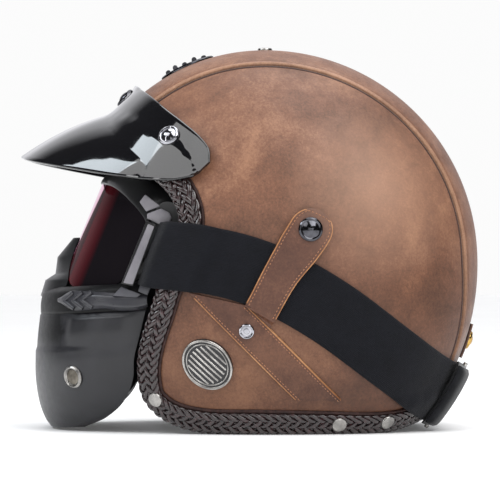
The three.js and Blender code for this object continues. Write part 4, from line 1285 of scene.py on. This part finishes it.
def build_peak_snaps():
    profile = [(r * 0.92, h * 1.05) for r, h in SNAP]
    middle, ahead = band_middle(0.0)
    cap = turned("peak_cap_centre", profile, middle + ahead * 0.3, ahead, LOOKS["dark chrome"])
    settle(cap, "peak", "dark_chrome", "peak_snap_cap_centre")
    point, normal = band_middle(SIDE_CAP_PLACE)

    # The side caps take the bright chrome, lighter than the centre cap's dark chrome: painted highlight.
    def side_cap(side, turn):
        return turned(f"peak_cap_{side}", profile, (point + normal * 0.3) * turn, normal * turn, LOOKS["chrome"])

    both(side_cap, "peak", "dark_chrome", "peak_snap_cap")
    under = lifted(middle)
    stud = turned("peak_stud_centre", SMALL_STUD, under + surface_normal(under) * GAP, surface_normal(under), LOOKS["steel"])
    settle(stud, "helmet", "steel", "peak_snap_stud_centre")
    foot = lifted(point)
    both(on_shell(SMALL_STUD, "peak_stud", foot[1:], GAP, LOOKS["steel"]), "helmet", "steel", "peak_snap_stud")


# ---- Goggles --------------------------------------------------------------------------------

LENS_SLOPE = 0.48
LENS_CENTRE_Y = -133.8
LENS_WRAP = 43
LENS_WRAP_X = 85
FRAME_WIDTH = 9
FRAME_DEPTH = 14
FRAME_LEFT = [
    (0, 63), (30, 66), (60, 63), (80, 53), (90, 37), (91.6, 20), (90.5, 7), (85, -5), (74, -10.5),
    (58, -11), (42, -9), (28, -3), (14, 8), (0, 12),
]


def goggle_point(x, z, depth=0.0):
    wrap = LENS_WRAP * (np.abs(x) / LENS_WRAP_X) ** 2.2
    return np.stack([x, LENS_CENTRE_Y + LENS_SLOPE * z + wrap + depth, z], -1)


LENS_LEFT = [
    (0, 60), (26, 59.5), (45, 57), (60, 51.5), (71, 45), (79, 39), (85, 33), (87, 28), (87, 10),
    (86, -4), (82, -9), (74, -10), (58, -10.5), (43, -8.5), (29, -2.5), (15, 8.5), (0, 12.5),
]
LENS_THICKNESS = 1.8
LENS_SEAT = 1.5
LENS_MIDDLE_Z = 36


def goggle_outline(left, step_in=0.0, count=200):
    """The outline through left-hand x and z stops, stepped in towards the middle of the lens."""
    stops = evenly(both_sides(np.array([(x, 0, z) for x, z in left], float)), count, True)
    tangent = unit(np.roll(stops, -1, 0) - np.roll(stops, 1, 0))
    inward = np.stack([-tangent[:, 2], 0 * tangent[:, 0], tangent[:, 0]], -1)
    facing = np.sign(((np.array([0, 0, LENS_MIDDLE_Z]) - stops) * inward).sum(-1).mean())
    moved = stops + inward * facing * step_in
    return moved[:, 0], moved[:, 2]


def goggle_ring(name, section, look, smooth=40):
    """A closed ring round the lens from [inset, depth] pairs."""
    rings = np.stack([goggle_point(*goggle_outline(FRAME_LEFT, step_in), depth) for step_in, depth in section], 1)
    return mesh_object(name, rings, tube_faces(len(rings), len(section), True), look, smooth)


def build_goggles():
    front = LENS_THICKNESS + LENS_SEAT
    section = [(0.1, front + 1.5), (0.6, front + 0.5), (1.6, front), (FRAME_WIDTH, front), (FRAME_WIDTH, 12.6),
               (8.6, 13.6), (7.4, 14), (2, 14), (0.6, 13.4), (0, 12)]
    rim = goggle_ring("goggle_rim", section, LOOKS["satin"])
    settle(rim, "goggles", "matte_black", "goggle_frame")
    pad = [(1.4, 14.3), (0.9, 16), (1.0, 18.5), (1.6, 20.5), (3, 21.8), (4.6, 21.8), (6.2, 20.6), (7, 18.5), (7, 16), (6.6, 14.3)]
    foam = goggle_ring("face_foam_soft", pad, LOOKS["face foam"], 70)
    settle(foam, "goggles", "face_foam", "face_foam")
    build_lens()
    build_rail()
    build_nose_guard()
    build_brow_arm()
    both(outrigger, "goggles", "matte_black", "outrigger")
    both(temple_facets, "goggles", "matte_black")
    both(temple_hub, "goggles", "matte_black")


def build_lens():
    x, z = goggle_outline(LENS_LEFT)
    parts = np.concatenate([np.linspace(0.04, 0.97, 24), [0.99, 1.0]])[:, None]
    edge = smoothstep((parts - 0.98) / 0.02) * 0.5
    middle = LENS_MIDDLE_Z
    front = goggle_point(x * parts, middle + (z - middle) * parts, 0.0 + edge)
    back = goggle_point(x * parts, middle + (z - middle) * parts, LENS_THICKNESS - 0 * edge)[::-1]
    rings = np.concatenate([front, back])
    count = len(x)
    centre = goggle_point(np.zeros(2), np.full(2, float(middle)), np.array([0, LENS_THICKNESS]))
    points = np.concatenate([rings.reshape(-1, 3), centre])
    faces = grid_faces(len(rings), count, False, True).tolist()
    last = (len(rings) - 1) * count
    for k in range(count):
        after = (k + 1) % count
        faces.append([len(points) - 2, k, after])
        faces.append([len(points) - 1, last + after, last + k])
    lens = mesh_object("goggle_lens_mirrored", points, faces, LOOKS["lens"])
    settle(lens, "goggles", "lens", "goggle_lens")


BROW_LAP = 2.4


def build_brow_arm():
    """The frame's brow, a band over the lens that broadens towards the temples."""
    x, z = goggle_outline(FRAME_LEFT)
    top = (z > 30) & (np.abs(x) < 88)
    order = np.argsort(x[top])
    outer = np.stack([x[top][order], z[top][order]], -1)
    lens_x, lens_z = goggle_outline(LENS_LEFT)
    upper = lens_z > 29
    order = np.argsort(lens_x[upper])
    run = np.clip(outer[:, 0], -85.5, 85.5)
    inner_z = np.interp(run, lens_x[upper][order], lens_z[upper][order]) - BROW_LAP
    rows = []
    for share, depth in ((0, 3.6), (0.04, 1.4), (0.2, -0.4), (0.55, -1.2), (0.85, -1.0), (1.0, 0.2), (1.0, 3.4)):
        z_row = outer[:, 1] * (1 - share) + np.minimum(inner_z, outer[:, 1]) * share
        rows.append(goggle_point(outer[:, 0] * (1 - share) + run * share, z_row, depth))
    rings = np.stack(rows, 1)
    brow = mesh_object("goggle_brow", rings, tube_faces(len(rings), len(rows)), LOOKS["satin"], 40)
    settle(brow, "goggles", "matte_black")


def wrap_rows(levels, parts, count=121):
    """Rows of a U-shaped wall in plan, between levels of [front, rear, half width, z]."""
    across = np.linspace(-1, 1, count) * math.pi / 2
    table = curve_at(levels, parts)
    front, rear, half_width, z = (table[:, k, None] for k in range(4))
    x = half_width * np.sign(across) * np.abs(np.sin(across)) ** 0.92
    y = rear + (front - rear) * np.maximum(0, np.cos(across)) ** 0.9
    return np.stack([x, y, np.broadcast_to(z, x.shape)], -1)


RAIL = [(-149, -77, 94, -12.6), (-151, -77, 95, -18.5), (-151.5, -78.5, 95, -25)]


RAIL_SHELF = [(-139.5, -82, 89.5, -8.8), (-145.5, -78.5, 92.5, -10.6)]
DAGGER = [
    (-136.5, -16.5, -17.5), (-127, -12, -23.5), (-119, -12.5, -24), (-106, -13.5, -23.5), (-94, -15, -25.5),
    (-84, -16.5, -25.5), (-77, -17, -24),
]
DAGGER_RISE = 2.6


def build_rail():
    grid = wrap_rows(RAIL_SHELF + RAIL, np.linspace(0, 1, 33)).transpose(1, 0, 2)
    # The rail wall is painted darker than the frame plastic: painted shade.
    rail = plate("mask_rail_wall", grid, 3.4, LOOKS["soft shade-painted black"], 50)
    settle(rail, "goggles", "matte_black", "mask_rail")
    # The blade and chevrons are lighter than the frame plastic: painted highlight.
    both(rail_blade, "goggles", "matte_black")
    both(rail_chevrons, "goggles", "matte_black")


CHEVRON_PLACES = (-130.5, -124.5, -118.5)
CHEVRON_REACH = 6.5


def rail_point(y, z, rise=0.0):
    """The point of the rail's left outer face at a given y and z, raised off it."""
    levels = np.array(RAIL, float)
    y, z = np.broadcast_arrays(np.asarray(y, float), np.asarray(z, float))
    front, rear, half_width = (np.interp(-z, -levels[:, 3], levels[:, k]) for k in range(3))
    share = np.clip((y - rear) / (front - rear), 0.0, 1.0)
    angle = np.arccos(share ** (1 / 0.9))
    point = np.stack([half_width * np.sin(angle) ** 0.92, y, z], -1)
    outward = unit(np.stack([point[..., 0] + 20, (y + 40) * 0.75, 0 * z], -1))
    return point + outward * np.asarray(rise)[..., None]


def rail_blade(side, turn):
    """The raised blade along the rail's side, pointed in front, that the mask hangs under."""
    stops = curve_at(DAGGER, np.linspace(0, 1, 60))
    share = np.linspace(0, 1, 13)
    z = stops[:, 1, None] * (1 - share) + stops[:, 2, None] * share
    bevel = smoothstep(np.minimum(share, 1 - share) / 0.22) * np.ones_like(z)
    tip = smoothstep((stops[:, 0, None] + 137) / 7)
    grid = rail_point(stops[:, 0, None] * np.ones_like(z), z, DAGGER_RISE * (0.25 + 0.75 * bevel * tip))
    return plate(f"rail_blade_{side}", grid * turn, 2.4, LOOKS["rib"], 30)


def rail_chevrons(side, turn):
    """Three ribs in a row, each a V that points forward."""
    pieces = []
    for k, place in enumerate(CHEVRON_PLACES):
        way = np.linspace(-1, 1, 21)
        y = place + CHEVRON_REACH * np.abs(way)
        z = -17.8 + 5.2 * way
        path = rail_point(y, z, np.full(21, DAGGER_RISE + 0.2))
        outward = unit(rail_point(y, z, np.full(21, 3.0)) - rail_point(y, z, np.zeros(21)))
        pieces.append(rib(f"chevron_{k}", path * turn, outward * turn, 1.3, 1.1, LOOKS["rib"]))
    return joined(f"rail_chevrons_{side}", pieces)


def rib(name, path, outward, half_width, rise, look):
    """A rounded rib along a path on any surface, given which way is out of it."""
    tangent = unit(np.gradient(path, axis=0))
    side = unit(np.cross(tangent, outward))
    turn = np.linspace(0, math.pi, 7)
    across = np.concatenate([-half_width * np.cos(turn), [half_width, -half_width]])
    height = np.concatenate([rise * np.sin(turn), [-1.0, -1.0]])
    rings = path[:, None] + side[:, None] * across[:, None] + outward[:, None] * height[:, None]
    return mesh_object(name, rings, tube_faces(len(rings), len(across)), look, 50)


NOSE_ROWS = [(-151, -13.5, 38), (-147.5, -4, 34), (-140.5, 0, 29), (-138.5, 11, 17), (-127.5, 23, 5)]
NOSE_STOPS = (0, 0.25, 0.5, 0.75, 1)
NOSE_BLADE = [(-127.5, 16), (-124, 21.5), (-126.5, 11), (-128.5, 5), (-132, 5)]


def build_nose_guard():
    stops = np.array(NOSE_ROWS, float)
    table = np.stack([np.interp(np.linspace(0, 1, 41), NOSE_STOPS, stops[:, k]) for k in range(3)], -1)
    across = np.linspace(-1, 1, 25)
    x = table[:, 2, None] * across
    z = np.broadcast_to(table[:, 1, None], x.shape)
    back = goggle_point(table[:, 2], table[:, 1])[:, 1] - 0.6 - table[:, 0]
    y = table[:, 0, None] + back[:, None] * across**2
    guard = plate("nose_guard_shell", np.stack([x, y, z], -1).transpose(1, 0, 2), 2, LOOKS["satin"], 50)
    settle(guard, "goggles", "matte_black", "nose_guard")
    both(nose_blade, "goggles", "matte_black")


def nose_blade(side, turn):
    """The thin upright fin on each side of the nose guard."""
    return side_slab(f"nose_blade_{side}", NOSE_BLADE, 5.5, 7.5, turn, LOOKS["satin"], 0.4)


OUTRIGGER = [(-75, 31), (-69, 28), (-86, -10.5), (-93.5, -8.5)]
OUTRIGGER_SPAN = (92.6, 99.2)
BAR_FACE = [(-74, 29), (-70, 27), (-86, -9.5), (-92, -8)]
# The bar and facets are grey to stand for light on the black frame: painted reflection.
TEMPLE_FACETS = [
    ([(-75, 48), (-65.5, 40), (-75, 37), (-79, 43.5)], 84, 92, "grey"),
    ([(-74.5, 35.5), (-65, 38.5), (-60, 35.5), (-58.5, 32), (-61.5, 28), (-66.5, 28), (-74.5, 32.5)], 88, 94.5, "grey"),
    ([(-93.5, -10.5), (-81, -16), (-84, -18), (-99.5, -16)], 92, 96.5, "dark grey"),
    ([(-81.5, -10), (-74, -10.5), (-77, -17), (-83, -14)], 92, 96, "dark grey"),
]
HUB_PLACE = (-61.5, 34.5)
HUB = [(0.01, -8), (9, -8), (9, -0.8), (8.2, 0), (7.4, -0.2), (0.01, 0)]


def prism(name, outline, low, high, look, bevel=0.7):
    """A slab with the given y, z outline, from x = low to x = high, edges bevelled."""
    import bmesh

    count = len(outline)
    points = [(x, y, z) for x in (low, high) for y, z in outline]
    faces = [list(range(count))[::-1], [count + k for k in range(count)]]
    faces += [[k, (k + 1) % count, count + (k + 1) % count, count + k] for k in range(count)]
    piece = mesh_object(name, points, faces, look, 35)
    shape = bmesh.new()
    shape.from_mesh(piece.data)
    bmesh.ops.bevel(shape, geom=shape.edges[:], offset=bevel * MILLIMETRE, segments=2, affect="EDGES", profile=0.6)
    shape.to_mesh(piece.data)
    shape.free()
    piece.data.shade_smooth()
    piece.data.set_sharp_from_angle(angle=math.radians(35))
    return piece


def side_slab(name, outline, low, high, turn, look, bevel=0.7):
    low, high = sorted((low * turn[0], high * turn[0]))
    return prism(name, outline, low, high, look, bevel)


def outrigger(side, turn):
    return side_slab(f"outrigger_slab_{side}", OUTRIGGER, *OUTRIGGER_SPAN, turn, LOOKS["satin"])


def temple_facets(side, turn):
    """The angular panels let into the temple: bar, brow, knuckle and foot. Their grey stands for light on the black
    frame plastic: painted reflection, the lower two dimmer.
    """
    high = OUTRIGGER_SPAN[1]
    pieces = [side_slab("bar", BAR_FACE, high - 1, high + 1.1, turn, LOOKS["grey"])]
    for k, (outline, low, top, look) in enumerate(TEMPLE_FACETS):
        pieces.append(side_slab(f"facet_{k}", outline, low, top, turn, LOOKS[look]))
    return joined(f"temple_facets_{side}", pieces)


def temple_hub(side, turn):
    point = np.array([91.5, *HUB_PLACE])
    return turned(f"temple_hub_{side}", HUB, point * turn, np.array([1.0, 0, 0]) * turn, LOOKS["satin"])


# ---- Goggle strap ------------------------------------------------------------------------------

STRAP_LEFT = [(-90, 12.5), (-62, 8), (-41, 4.5), (-16, -2.3), (5.7, -11.8), (39.6, -33.5), (76.5, -64), (98, -82)]
STRAP_REAR = [(42, 111, -91), (0, 116, -93)]
STRAP_HALF_WIDTH = 20.5
STRAP_THICKNESS = 1.6
STRAP_STATIONS = 43
STRAP_FINE = 8
SLIDER_STATIONS = (17, 19)
PIN = [(0.01, 0), (1.4, 0), (1.4, 1.6), (1.0, 2.1), (0.01, 2.2)]
STRAP_FRONT_EDGE = {"y": -68, "z": 28, "lean": 0.443}
SLANT_ROWS = 40
END_DIP = 6.5
END_DIP_LENGTH = 12


def strap_path():
    left = np.concatenate([left_point(*np.array(STRAP_LEFT).T), STRAP_REAR])
    return trace(np.concatenate([left, flipped(left[:-1][::-1])]), (STRAP_STATIONS - 1) * STRAP_FINE + 1)


STRAP_PATH = strap_path()


def strap_height(points):
    """The strap lies on the leather, and climbs over the seam welts and the trim."""
    over_seam = 0.7 + 1.3 * (1 - smoothstep((np.abs(points[..., 0]) - 62) / 14))
    return clear_height(points, over_seam)


def behind_front_edge(points):
    """How far a point lies behind the slanted line where the strap's ends are cut."""
    edge = STRAP_FRONT_EDGE["y"] - STRAP_FRONT_EDGE["lean"] * (STRAP_FRONT_EDGE["z"] - points[..., 2])
    return points[..., 1] - edge


def front_dip(points):
    """The strap's ends turn in towards the outriggers."""
    return END_DIP * (1 - smoothstep(behind_front_edge(points) / END_DIP_LENGTH)) ** 1.5


def slanted_ends(flat):
    """Draws each line along the strap back from its ends to the slanted cut."""
    flat = cut_start(flat, behind_front_edge, SLANT_ROWS)
    return cut_start(flat[::-1], behind_front_edge, SLANT_ROWS)[::-1]


def strap_rings(path, half_width, extra, thickness, columns=25):
    stops = np.linspace(-1, 1, columns) * half_width
    side = sideways(path)
    flat = slanted_ends(path[:, None] + side[:, None] * stops[:, None])
    base = strap_height(flat) + extra - front_dip(flat)
    outer = lifted(flat, base + thickness)
    inner = lifted(flat, base)
    half = thickness / 2
    ends = []
    for k, way in ((-1, 1), (0, -1)):
        bulge = lifted(flat[:, k] + side * way * half * 0.9, base[:, k] + half)
        ends.append(bulge[:, None])
    return np.concatenate([outer, ends[0], inner[:, ::-1], ends[1]], 1)


def strap_chart(path, half_width, columns=25):
    """Where each ring point lies on the flat strap: across it, then along it."""
    run = np.concatenate([[0], np.cumsum(np.linalg.norm(np.diff(path, axis=0), axis=1))])
    stops = np.linspace(-1, 1, columns) * half_width
    row = np.concatenate([stops, [half_width + 1], stops[::-1], [-half_width - 1]])
    return np.stack(np.broadcast_arrays(row[None, :], run[:, None]), -1)


def build_strap():
    rings = strap_rings(STRAP_PATH, STRAP_HALF_WIDTH, 0, STRAP_THICKNESS)
    chart = strap_chart(STRAP_PATH, STRAP_HALF_WIDTH)
    strap = mesh_object("elastic_strap", rings, tube_faces(len(rings), rings.shape[1]), LOOKS["elastic"], 60, chart)
    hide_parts("goggle_strap")
    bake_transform(strap)
    build_slider()


SLIDER_LIFT = 1.1
SLIDER_PLATE = 1.2
FOLD_THICKNESS = 4.6


def slider_rings(first, last, half_width, lift, thickness):
    """Rings of a piece that lies flat across the strap; thickness may vary along it."""
    path = STRAP_PATH[first:last]
    stops = np.linspace(-1, 1, 21) * half_width
    flat = path[:, None] + sideways(path)[:, None] * stops[:, None]
    base = strap_height(flat).max() + STRAP_THICKNESS + lift
    thickness = np.broadcast_to(thickness, len(path))[:, None]
    edge = 1 - np.abs(np.linspace(-1, 1, 21)) ** 14 * 0.45
    outer = lifted(flat, base + thickness * edge)
    inner = lifted(flat, np.full(flat.shape[:2], base))
    return np.concatenate([outer, inner[:, ::-1]], 1)


def build_slider():
    first, last = (k * STRAP_FINE - 2 for k in SLIDER_STATIONS)
    rings = slider_rings(first, last, STRAP_HALF_WIDTH + 2, SLIDER_LIFT, SLIDER_PLATE)
    bar = mesh_object("strap_slider_bar", rings, tube_faces(len(rings), rings.shape[1]), LOOKS["satin"], 50)
    settle(bar, "slider", "matte_black", "strap_slider")
    around = np.linspace(0, 1, last - first - 2)
    bulge = FOLD_THICKNESS * np.sqrt(np.clip(1 - (2 * around - 1) ** 4, 0.02, 1))
    rings = slider_rings(first + 1, last - 1, STRAP_HALF_WIDTH, SLIDER_LIFT + SLIDER_PLATE, bulge)
    fold = mesh_object("strap_fold", rings, tube_faces(len(rings), rings.shape[1]), LOOKS["elastic fold"], 60)
    settle(fold, "slider", "elastic")
    middle = STRAP_PATH[(first + last) // 2]
    side = sideways(STRAP_PATH)[(first + last) // 2]
    height = strap_height(STRAP_PATH[first:last]).max() + STRAP_THICKNESS + SLIDER_LIFT + 0.8
    pins = []
    for k, way in enumerate((-1, 1)):
        spot = lifted(middle + side * way * (STRAP_HALF_WIDTH + 1.6), height)
        pins.append(turned(f"slider_pin_{k}", PIN, spot, side * way, LOOKS["steel"], 20))
    settle(joined("slider_pins", pins), "slider", "steel")


# ---- Face mask -----------------------------------------------------------------------------------

MASK = [
    (-152, -79, 94.5, -27), (-154.5, -83.5, 94, -42), (-156, -88, 93, -57), (-156.5, -89.5, 89, -70),
    (-155.5, -96, 81, -84), (-152.5, -109, 67, -95), (-149, -124, 54, -101),
]
MASK_THICKNESS = 3
VENT_ACROSS = 0.63
VENT_Z = -67


def mask_wall(across, z):
    """A point of the mask's outer face, at a share of the way round and a height."""
    levels = np.array(MASK, float)
    front, rear, half_width = (np.interp(-z, -levels[:, 3], levels[:, k]) for k in range(3))
    angle = across * math.pi / 2
    return np.array([
        half_width * math.sin(abs(angle)) ** 0.92 * np.sign(angle),
        rear + (front - rear) * math.cos(angle) ** 0.9, z,
    ])


CHEEK_RISE = 2.0
CHIN_RISE = 0.8


def mask_relief(across, z):
    """How far the mask stands out from its plain wall: full cheeks above, a rounded chin below."""
    off_centre = np.abs(across)
    cheek = smoothstep((off_centre - 0.52) / 0.09) * smoothstep((-26.9 - z) / 3.5) * smoothstep((z + 53) / 16)
    rear = smoothstep((1.0 - off_centre) / 0.1)
    chin = smoothstep((-47.5 - z) / 3) * smoothstep((z + 101) / 40) * smoothstep((0.78 - off_centre) / 0.2)
    return CHEEK_RISE * cheek * rear + CHIN_RISE * chin * rear


def build_mask():
    count = 181
    grid = wrap_rows(MASK, np.linspace(0, 1, 91), count).transpose(1, 0, 2)
    across = np.linspace(-1, 1, count)[:, None]
    outward = unit(grid * [1, 1, 0] + [0, 60, 0])
    grid = grid + outward * mask_relief(across, grid[..., 2])[..., None]
    shell = plate("mask_wall", grid, MASK_THICKNESS, LOOKS["mask"], 50)
    settle(shell, "mask", "matte_black", "mask_shell")
    point = mask_wall(VENT_ACROSS, VENT_Z)
    along = mask_wall(VENT_ACROSS + 0.02, VENT_Z) - mask_wall(VENT_ACROSS - 0.02, VENT_Z)
    down = mask_wall(VENT_ACROSS, VENT_Z - 2) - mask_wall(VENT_ACROSS, VENT_Z + 2)
    normal = unit(np.cross(along, down))
    normal = normal * np.sign(normal[0])

    def vent(side, turn):
        return turned(f"mask_eyelet_{side}", EYELET, (point + normal * 0.3) * turn, normal * turn, LOOKS["steel"])

    def vent_mesh(side, turn):
        start = (point + normal * 0.75) * turn
        return turned(f"mask_mesh_{side}", VENT_MESH, start, normal * turn, LOOKS["mesh"])

    both(vent, "mask", "steel", "mask_vent")
    both(vent_mesh, "mask", "steel")


# ---- Pads and chin strap --------------------------------------------------------------------------


def pad_ring(centre, along, up, count=48):
    level = unit(np.asarray(centre, float))
    side = unit(np.cross([0, 0, 1], level))
    rise = np.cross(level, side)
    angle = np.linspace(0, 2 * math.pi, count, endpoint=False)
    spread = np.outer(np.cos(angle) * along, side) + np.outer(np.sin(angle) * up, rise)
    return lifted(lifted(level) + spread)


def crowned_skin(name, edge, pole, top, bottom, look):
    """A pad that is fullest in its middle and pinches in towards its rim."""
    parts = np.concatenate([np.linspace(0.05, 0.8, 12), [0.87, 0.93, 0.97, 0.99, 1.0]])
    pinch = smoothstep((parts - 0.62) / 0.38) ** 2
    middle = (top + bottom) / 2
    tops = top + (middle - top) * pinch * 0.8
    bottoms = bottom + (middle - bottom) * pinch * 0.9
    return skin(name, edge, pole, parts, tops, bottoms, look)


def build_pads():
    crown = np.array([0, 0.06, 1])
    pad = crowned_skin("crown_cushion", pad_ring(crown, 61, 51), crown, PAD_TOP, PAD_TOP - 7, LOOKS["lining"])
    settle(pad, "helmet", "lining", "crown_pad")
    cheek = left_point(-22, -42)

    def cheek_pad(side, turn):
        ring = pad_ring(cheek, 26.5, 33.5) * turn
        return crowned_skin(f"cheek_cushion_{side}", ring, cheek * turn, PAD_TOP, PAD_TOP - 13, LOOKS["lining"])

    for piece in both(cheek_pad, "helmet", "lining", "cheek_pad"):
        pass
    nape = trace([(-88, 60, -66), (-55, 98, -70), (0, 118, -72), (55, 98, -70), (88, 60, -66)], 60)
    turn = np.linspace(0, 2 * math.pi, 20, endpoint=False)
    ends = np.clip(np.minimum(np.arange(60), np.arange(60)[::-1]) / 6, 0, 1)[:, None]
    taper = np.sqrt(1 - (1 - ends) ** 2) * 0.85 + 0.15
    across = 12.6 * np.sign(np.cos(turn)) * np.abs(np.cos(turn)) ** 0.6 * taper
    height = PAD_TOP - 4.5 + 4.3 * np.sign(np.sin(turn)) * np.abs(np.sin(turn)) ** 0.7 * taper
    rings = strip(nape, across, height)
    roll = mesh_object("neck_cushion", rings, tube_faces(len(rings), len(turn)), LOOKS["lining"], 70)
    settle(roll, "helmet", "lining", "neck_pad")


CHIN_Y = (-58, -38)
CHIN_LEFT = [(79.5, -76), (78.5, -84), (73, -92), (60, -97), (40, -99.5), (16.5, -100)]
CHIN_RIGHT_END = 22.5
WEB_THICKNESS = 1.6


def chin_web(side, stops, turn):
    line = evenly(np.array([(x, 0, z) for x, z in stops], float), 50)
    tangent = unit(np.gradient(line, axis=0))
    above = np.stack([tangent[:, 2], 0 * tangent[:, 0], -tangent[:, 0]], -1)
    depth = np.linspace(CHIN_Y[0], CHIN_Y[1], 13)
    spread = np.stack([0 * depth, depth, 0 * depth], -1)
    lower = line[:, None] + spread
    upper = lower + above[:, None] * WEB_THICKNESS
    rings = np.concatenate([upper, lower[:, ::-1]], 1) * turn
    run = np.concatenate([[0], np.cumsum(np.linalg.norm(np.diff(line, axis=0), axis=1))])
    chart = np.stack(np.broadcast_arrays(np.concatenate([depth, depth[::-1]])[None, :], run[:, None]), -1)
    web = mesh_object(f"chin_web_{side}", rings, tube_faces(len(rings), rings.shape[1]), LOOKS["webbing"], 60, chart)
    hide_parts(f"chin_strap_{side}")
    return web


def build_chin_strap():
    left = chin_web("left", CHIN_LEFT, np.array([1, 1, 1]))
    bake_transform(left)
    right_stops = CHIN_LEFT[:-1] + [(CHIN_RIGHT_END, CHIN_LEFT[-1][1])]
    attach(chin_web("right", right_stops, np.array([-1, 1, 1])), "helmet")
    for node in ("buckle_receiver", "buckle_tongue"):
        dress(node, LOOKS["satin"], 0.8)
    for side in ("left", "right"):
        dress(f"strap_anchor_{side}", LOOKS["steel"], 0.3)


def dress(node, look, bevel):
    """Gives a CAD node its material and softens its corners."""
    piece = frame["nodes"][node]
    piece.data.materials.clear()
    piece.data.materials.append(look)
    soften = piece.modifiers.new("soft corners", "BEVEL")
    soften.width = bevel * MILLIMETRE
    soften.segments = 2
    soften.limit_method = "ANGLE"


# ---- Studio ---------------------------------------------------------------------------------------


def area_light(name, place, target, size, power, colour=(1, 1, 1)):
    light = bpy.data.lights.new(name, "AREA")
    light.shape = "RECTANGLE"
    light.size, light.size_y = size
    light.energy = power
    light.color = colour
    lamp = bpy.data.objects.new(name, light)
    lamp.location = place
    lamp.rotation_euler = (Vector(target) - Vector(place)).to_track_quat("-Z", "Y").to_euler()
    bpy.context.scene.collection.objects.link(lamp)


def build_studio():
    scene = bpy.context.scene
    scene.view_settings.view_transform = "Standard"
    camera = bpy.data.objects.new("camera", bpy.data.cameras.new("camera"))
    camera.location = (2.4, 0.0004, 0.1183)
    camera.rotation_euler = (math.pi / 2, 0, math.pi / 2)
    camera.data.lens = 257.9
    camera.data.sensor_width = 36
    scene.collection.objects.link(camera)
    scene.camera = camera
    sky = bpy.data.worlds.new("studio")
    sky.use_nodes = True
    scene.world = sky
    tree = sky.node_tree
    seen = tree.nodes["Background"]
    seen.inputs["Color"].default_value = (1, 1, 1, 1)
    seen.inputs["Strength"].default_value = 0.97
    scattered = tree.nodes.new("ShaderNodeBackground")
    scattered.inputs["Color"].default_value = (0.97, 0.98, 1, 1)
    scattered.inputs["Strength"].default_value = 0.52
    mirrored = tree.nodes.new("ShaderNodeBackground")
    way = tree.nodes.new("ShaderNodeTexCoord")
    split = tree.nodes.new("ShaderNodeSeparateXYZ")
    away = tree.nodes.new("ShaderNodeMath")
    away.operation = "MULTIPLY"
    away.inputs[1].default_value = -1
    backdrop = tree.nodes.new("ShaderNodeValToRGB")
    for element, (place, value) in zip(backdrop.color_ramp.elements, ((0.5, 0.05), (0.74, 0.9))):
        element.position = place
        element.color = (value, value, value * 1.04, 1)
    tree.links.new(way.outputs["Generated"], split.inputs[0])
    tree.links.new(split.outputs[0], away.inputs[0])
    tree.links.new(away.outputs[0], backdrop.inputs[0])
    tree.links.new(backdrop.outputs[0], mirrored.inputs["Color"])
    ray = tree.nodes.new("ShaderNodeLightPath")
    gloss = tree.nodes.new("ShaderNodeMixShader")
    choose = tree.nodes.new("ShaderNodeMixShader")
    tree.links.new(ray.outputs["Is Glossy Ray"], gloss.inputs[0])
    tree.links.new(scattered.outputs[0], gloss.inputs[1])
    tree.links.new(mirrored.outputs[0], gloss.inputs[2])
    tree.links.new(ray.outputs["Is Camera Ray"], choose.inputs[0])
    tree.links.new(gloss.outputs[0], choose.inputs[1])
    tree.links.new(seen.outputs[0], choose.inputs[2])
    tree.links.new(choose.outputs[0], tree.nodes["World Output"].inputs[0])
    bpy.ops.mesh.primitive_plane_add(size=14, location=(0, 0, -0.0002))
    floor = bpy.context.object
    floor.name = "studio_floor"
    pale = Look("pale floor", Roughness=0.6)
    pale.feed(pale.ramp(pale.noise(300, 2), (0.3, 0.88), (0.7, 0.9)), "Base Color")
    pale.surface.inputs["Emission Color"].default_value = (1, 1, 1, 1)
    pale.surface.inputs["Emission Strength"].default_value = 0.08
    floor.data.materials.append(pale.material)
    sun = bpy.data.lights.new("sky panel", "SUN")
    sun.energy = 1.6
    sun.angle = math.radians(50)
    lamp = bpy.data.objects.new("sky panel", sun)
    lamp.rotation_euler = (math.radians(-8), math.radians(-14), 0)
    scene.collection.objects.link(lamp)
    area_light("overhead", (0.8, 0.6, 1.4), (0, 0.05, 0.12), (1.0, 1.2), 17)
    area_light("front box", (0.3, -1.6, 1.46), (0.08, -0.08, 0.17), (0.72, 0.5), 9, (0.86, 0.94, 1))
    area_light("camera side", (1.06, -1.1, 1.6), (0.1, -0.04, 0.18), (1.3, 1.1), 12)
    area_light("front strip", (1.2, -1.6, 0.5), (0.1, -0.05, 0.1), (0.16, 1.1), 2.6)
    area_light("low fill", (2.0, 0.4, 0.5), (0, 0, 0.08), (1.6, 0.6), 5)


build_studio()
build_shell()
build_leather()
build_braid()
build_bands()
build_fasteners()
build_badges()
build_peak()
build_goggles()
build_strap()
build_mask()
build_pads()
build_chin_strap()
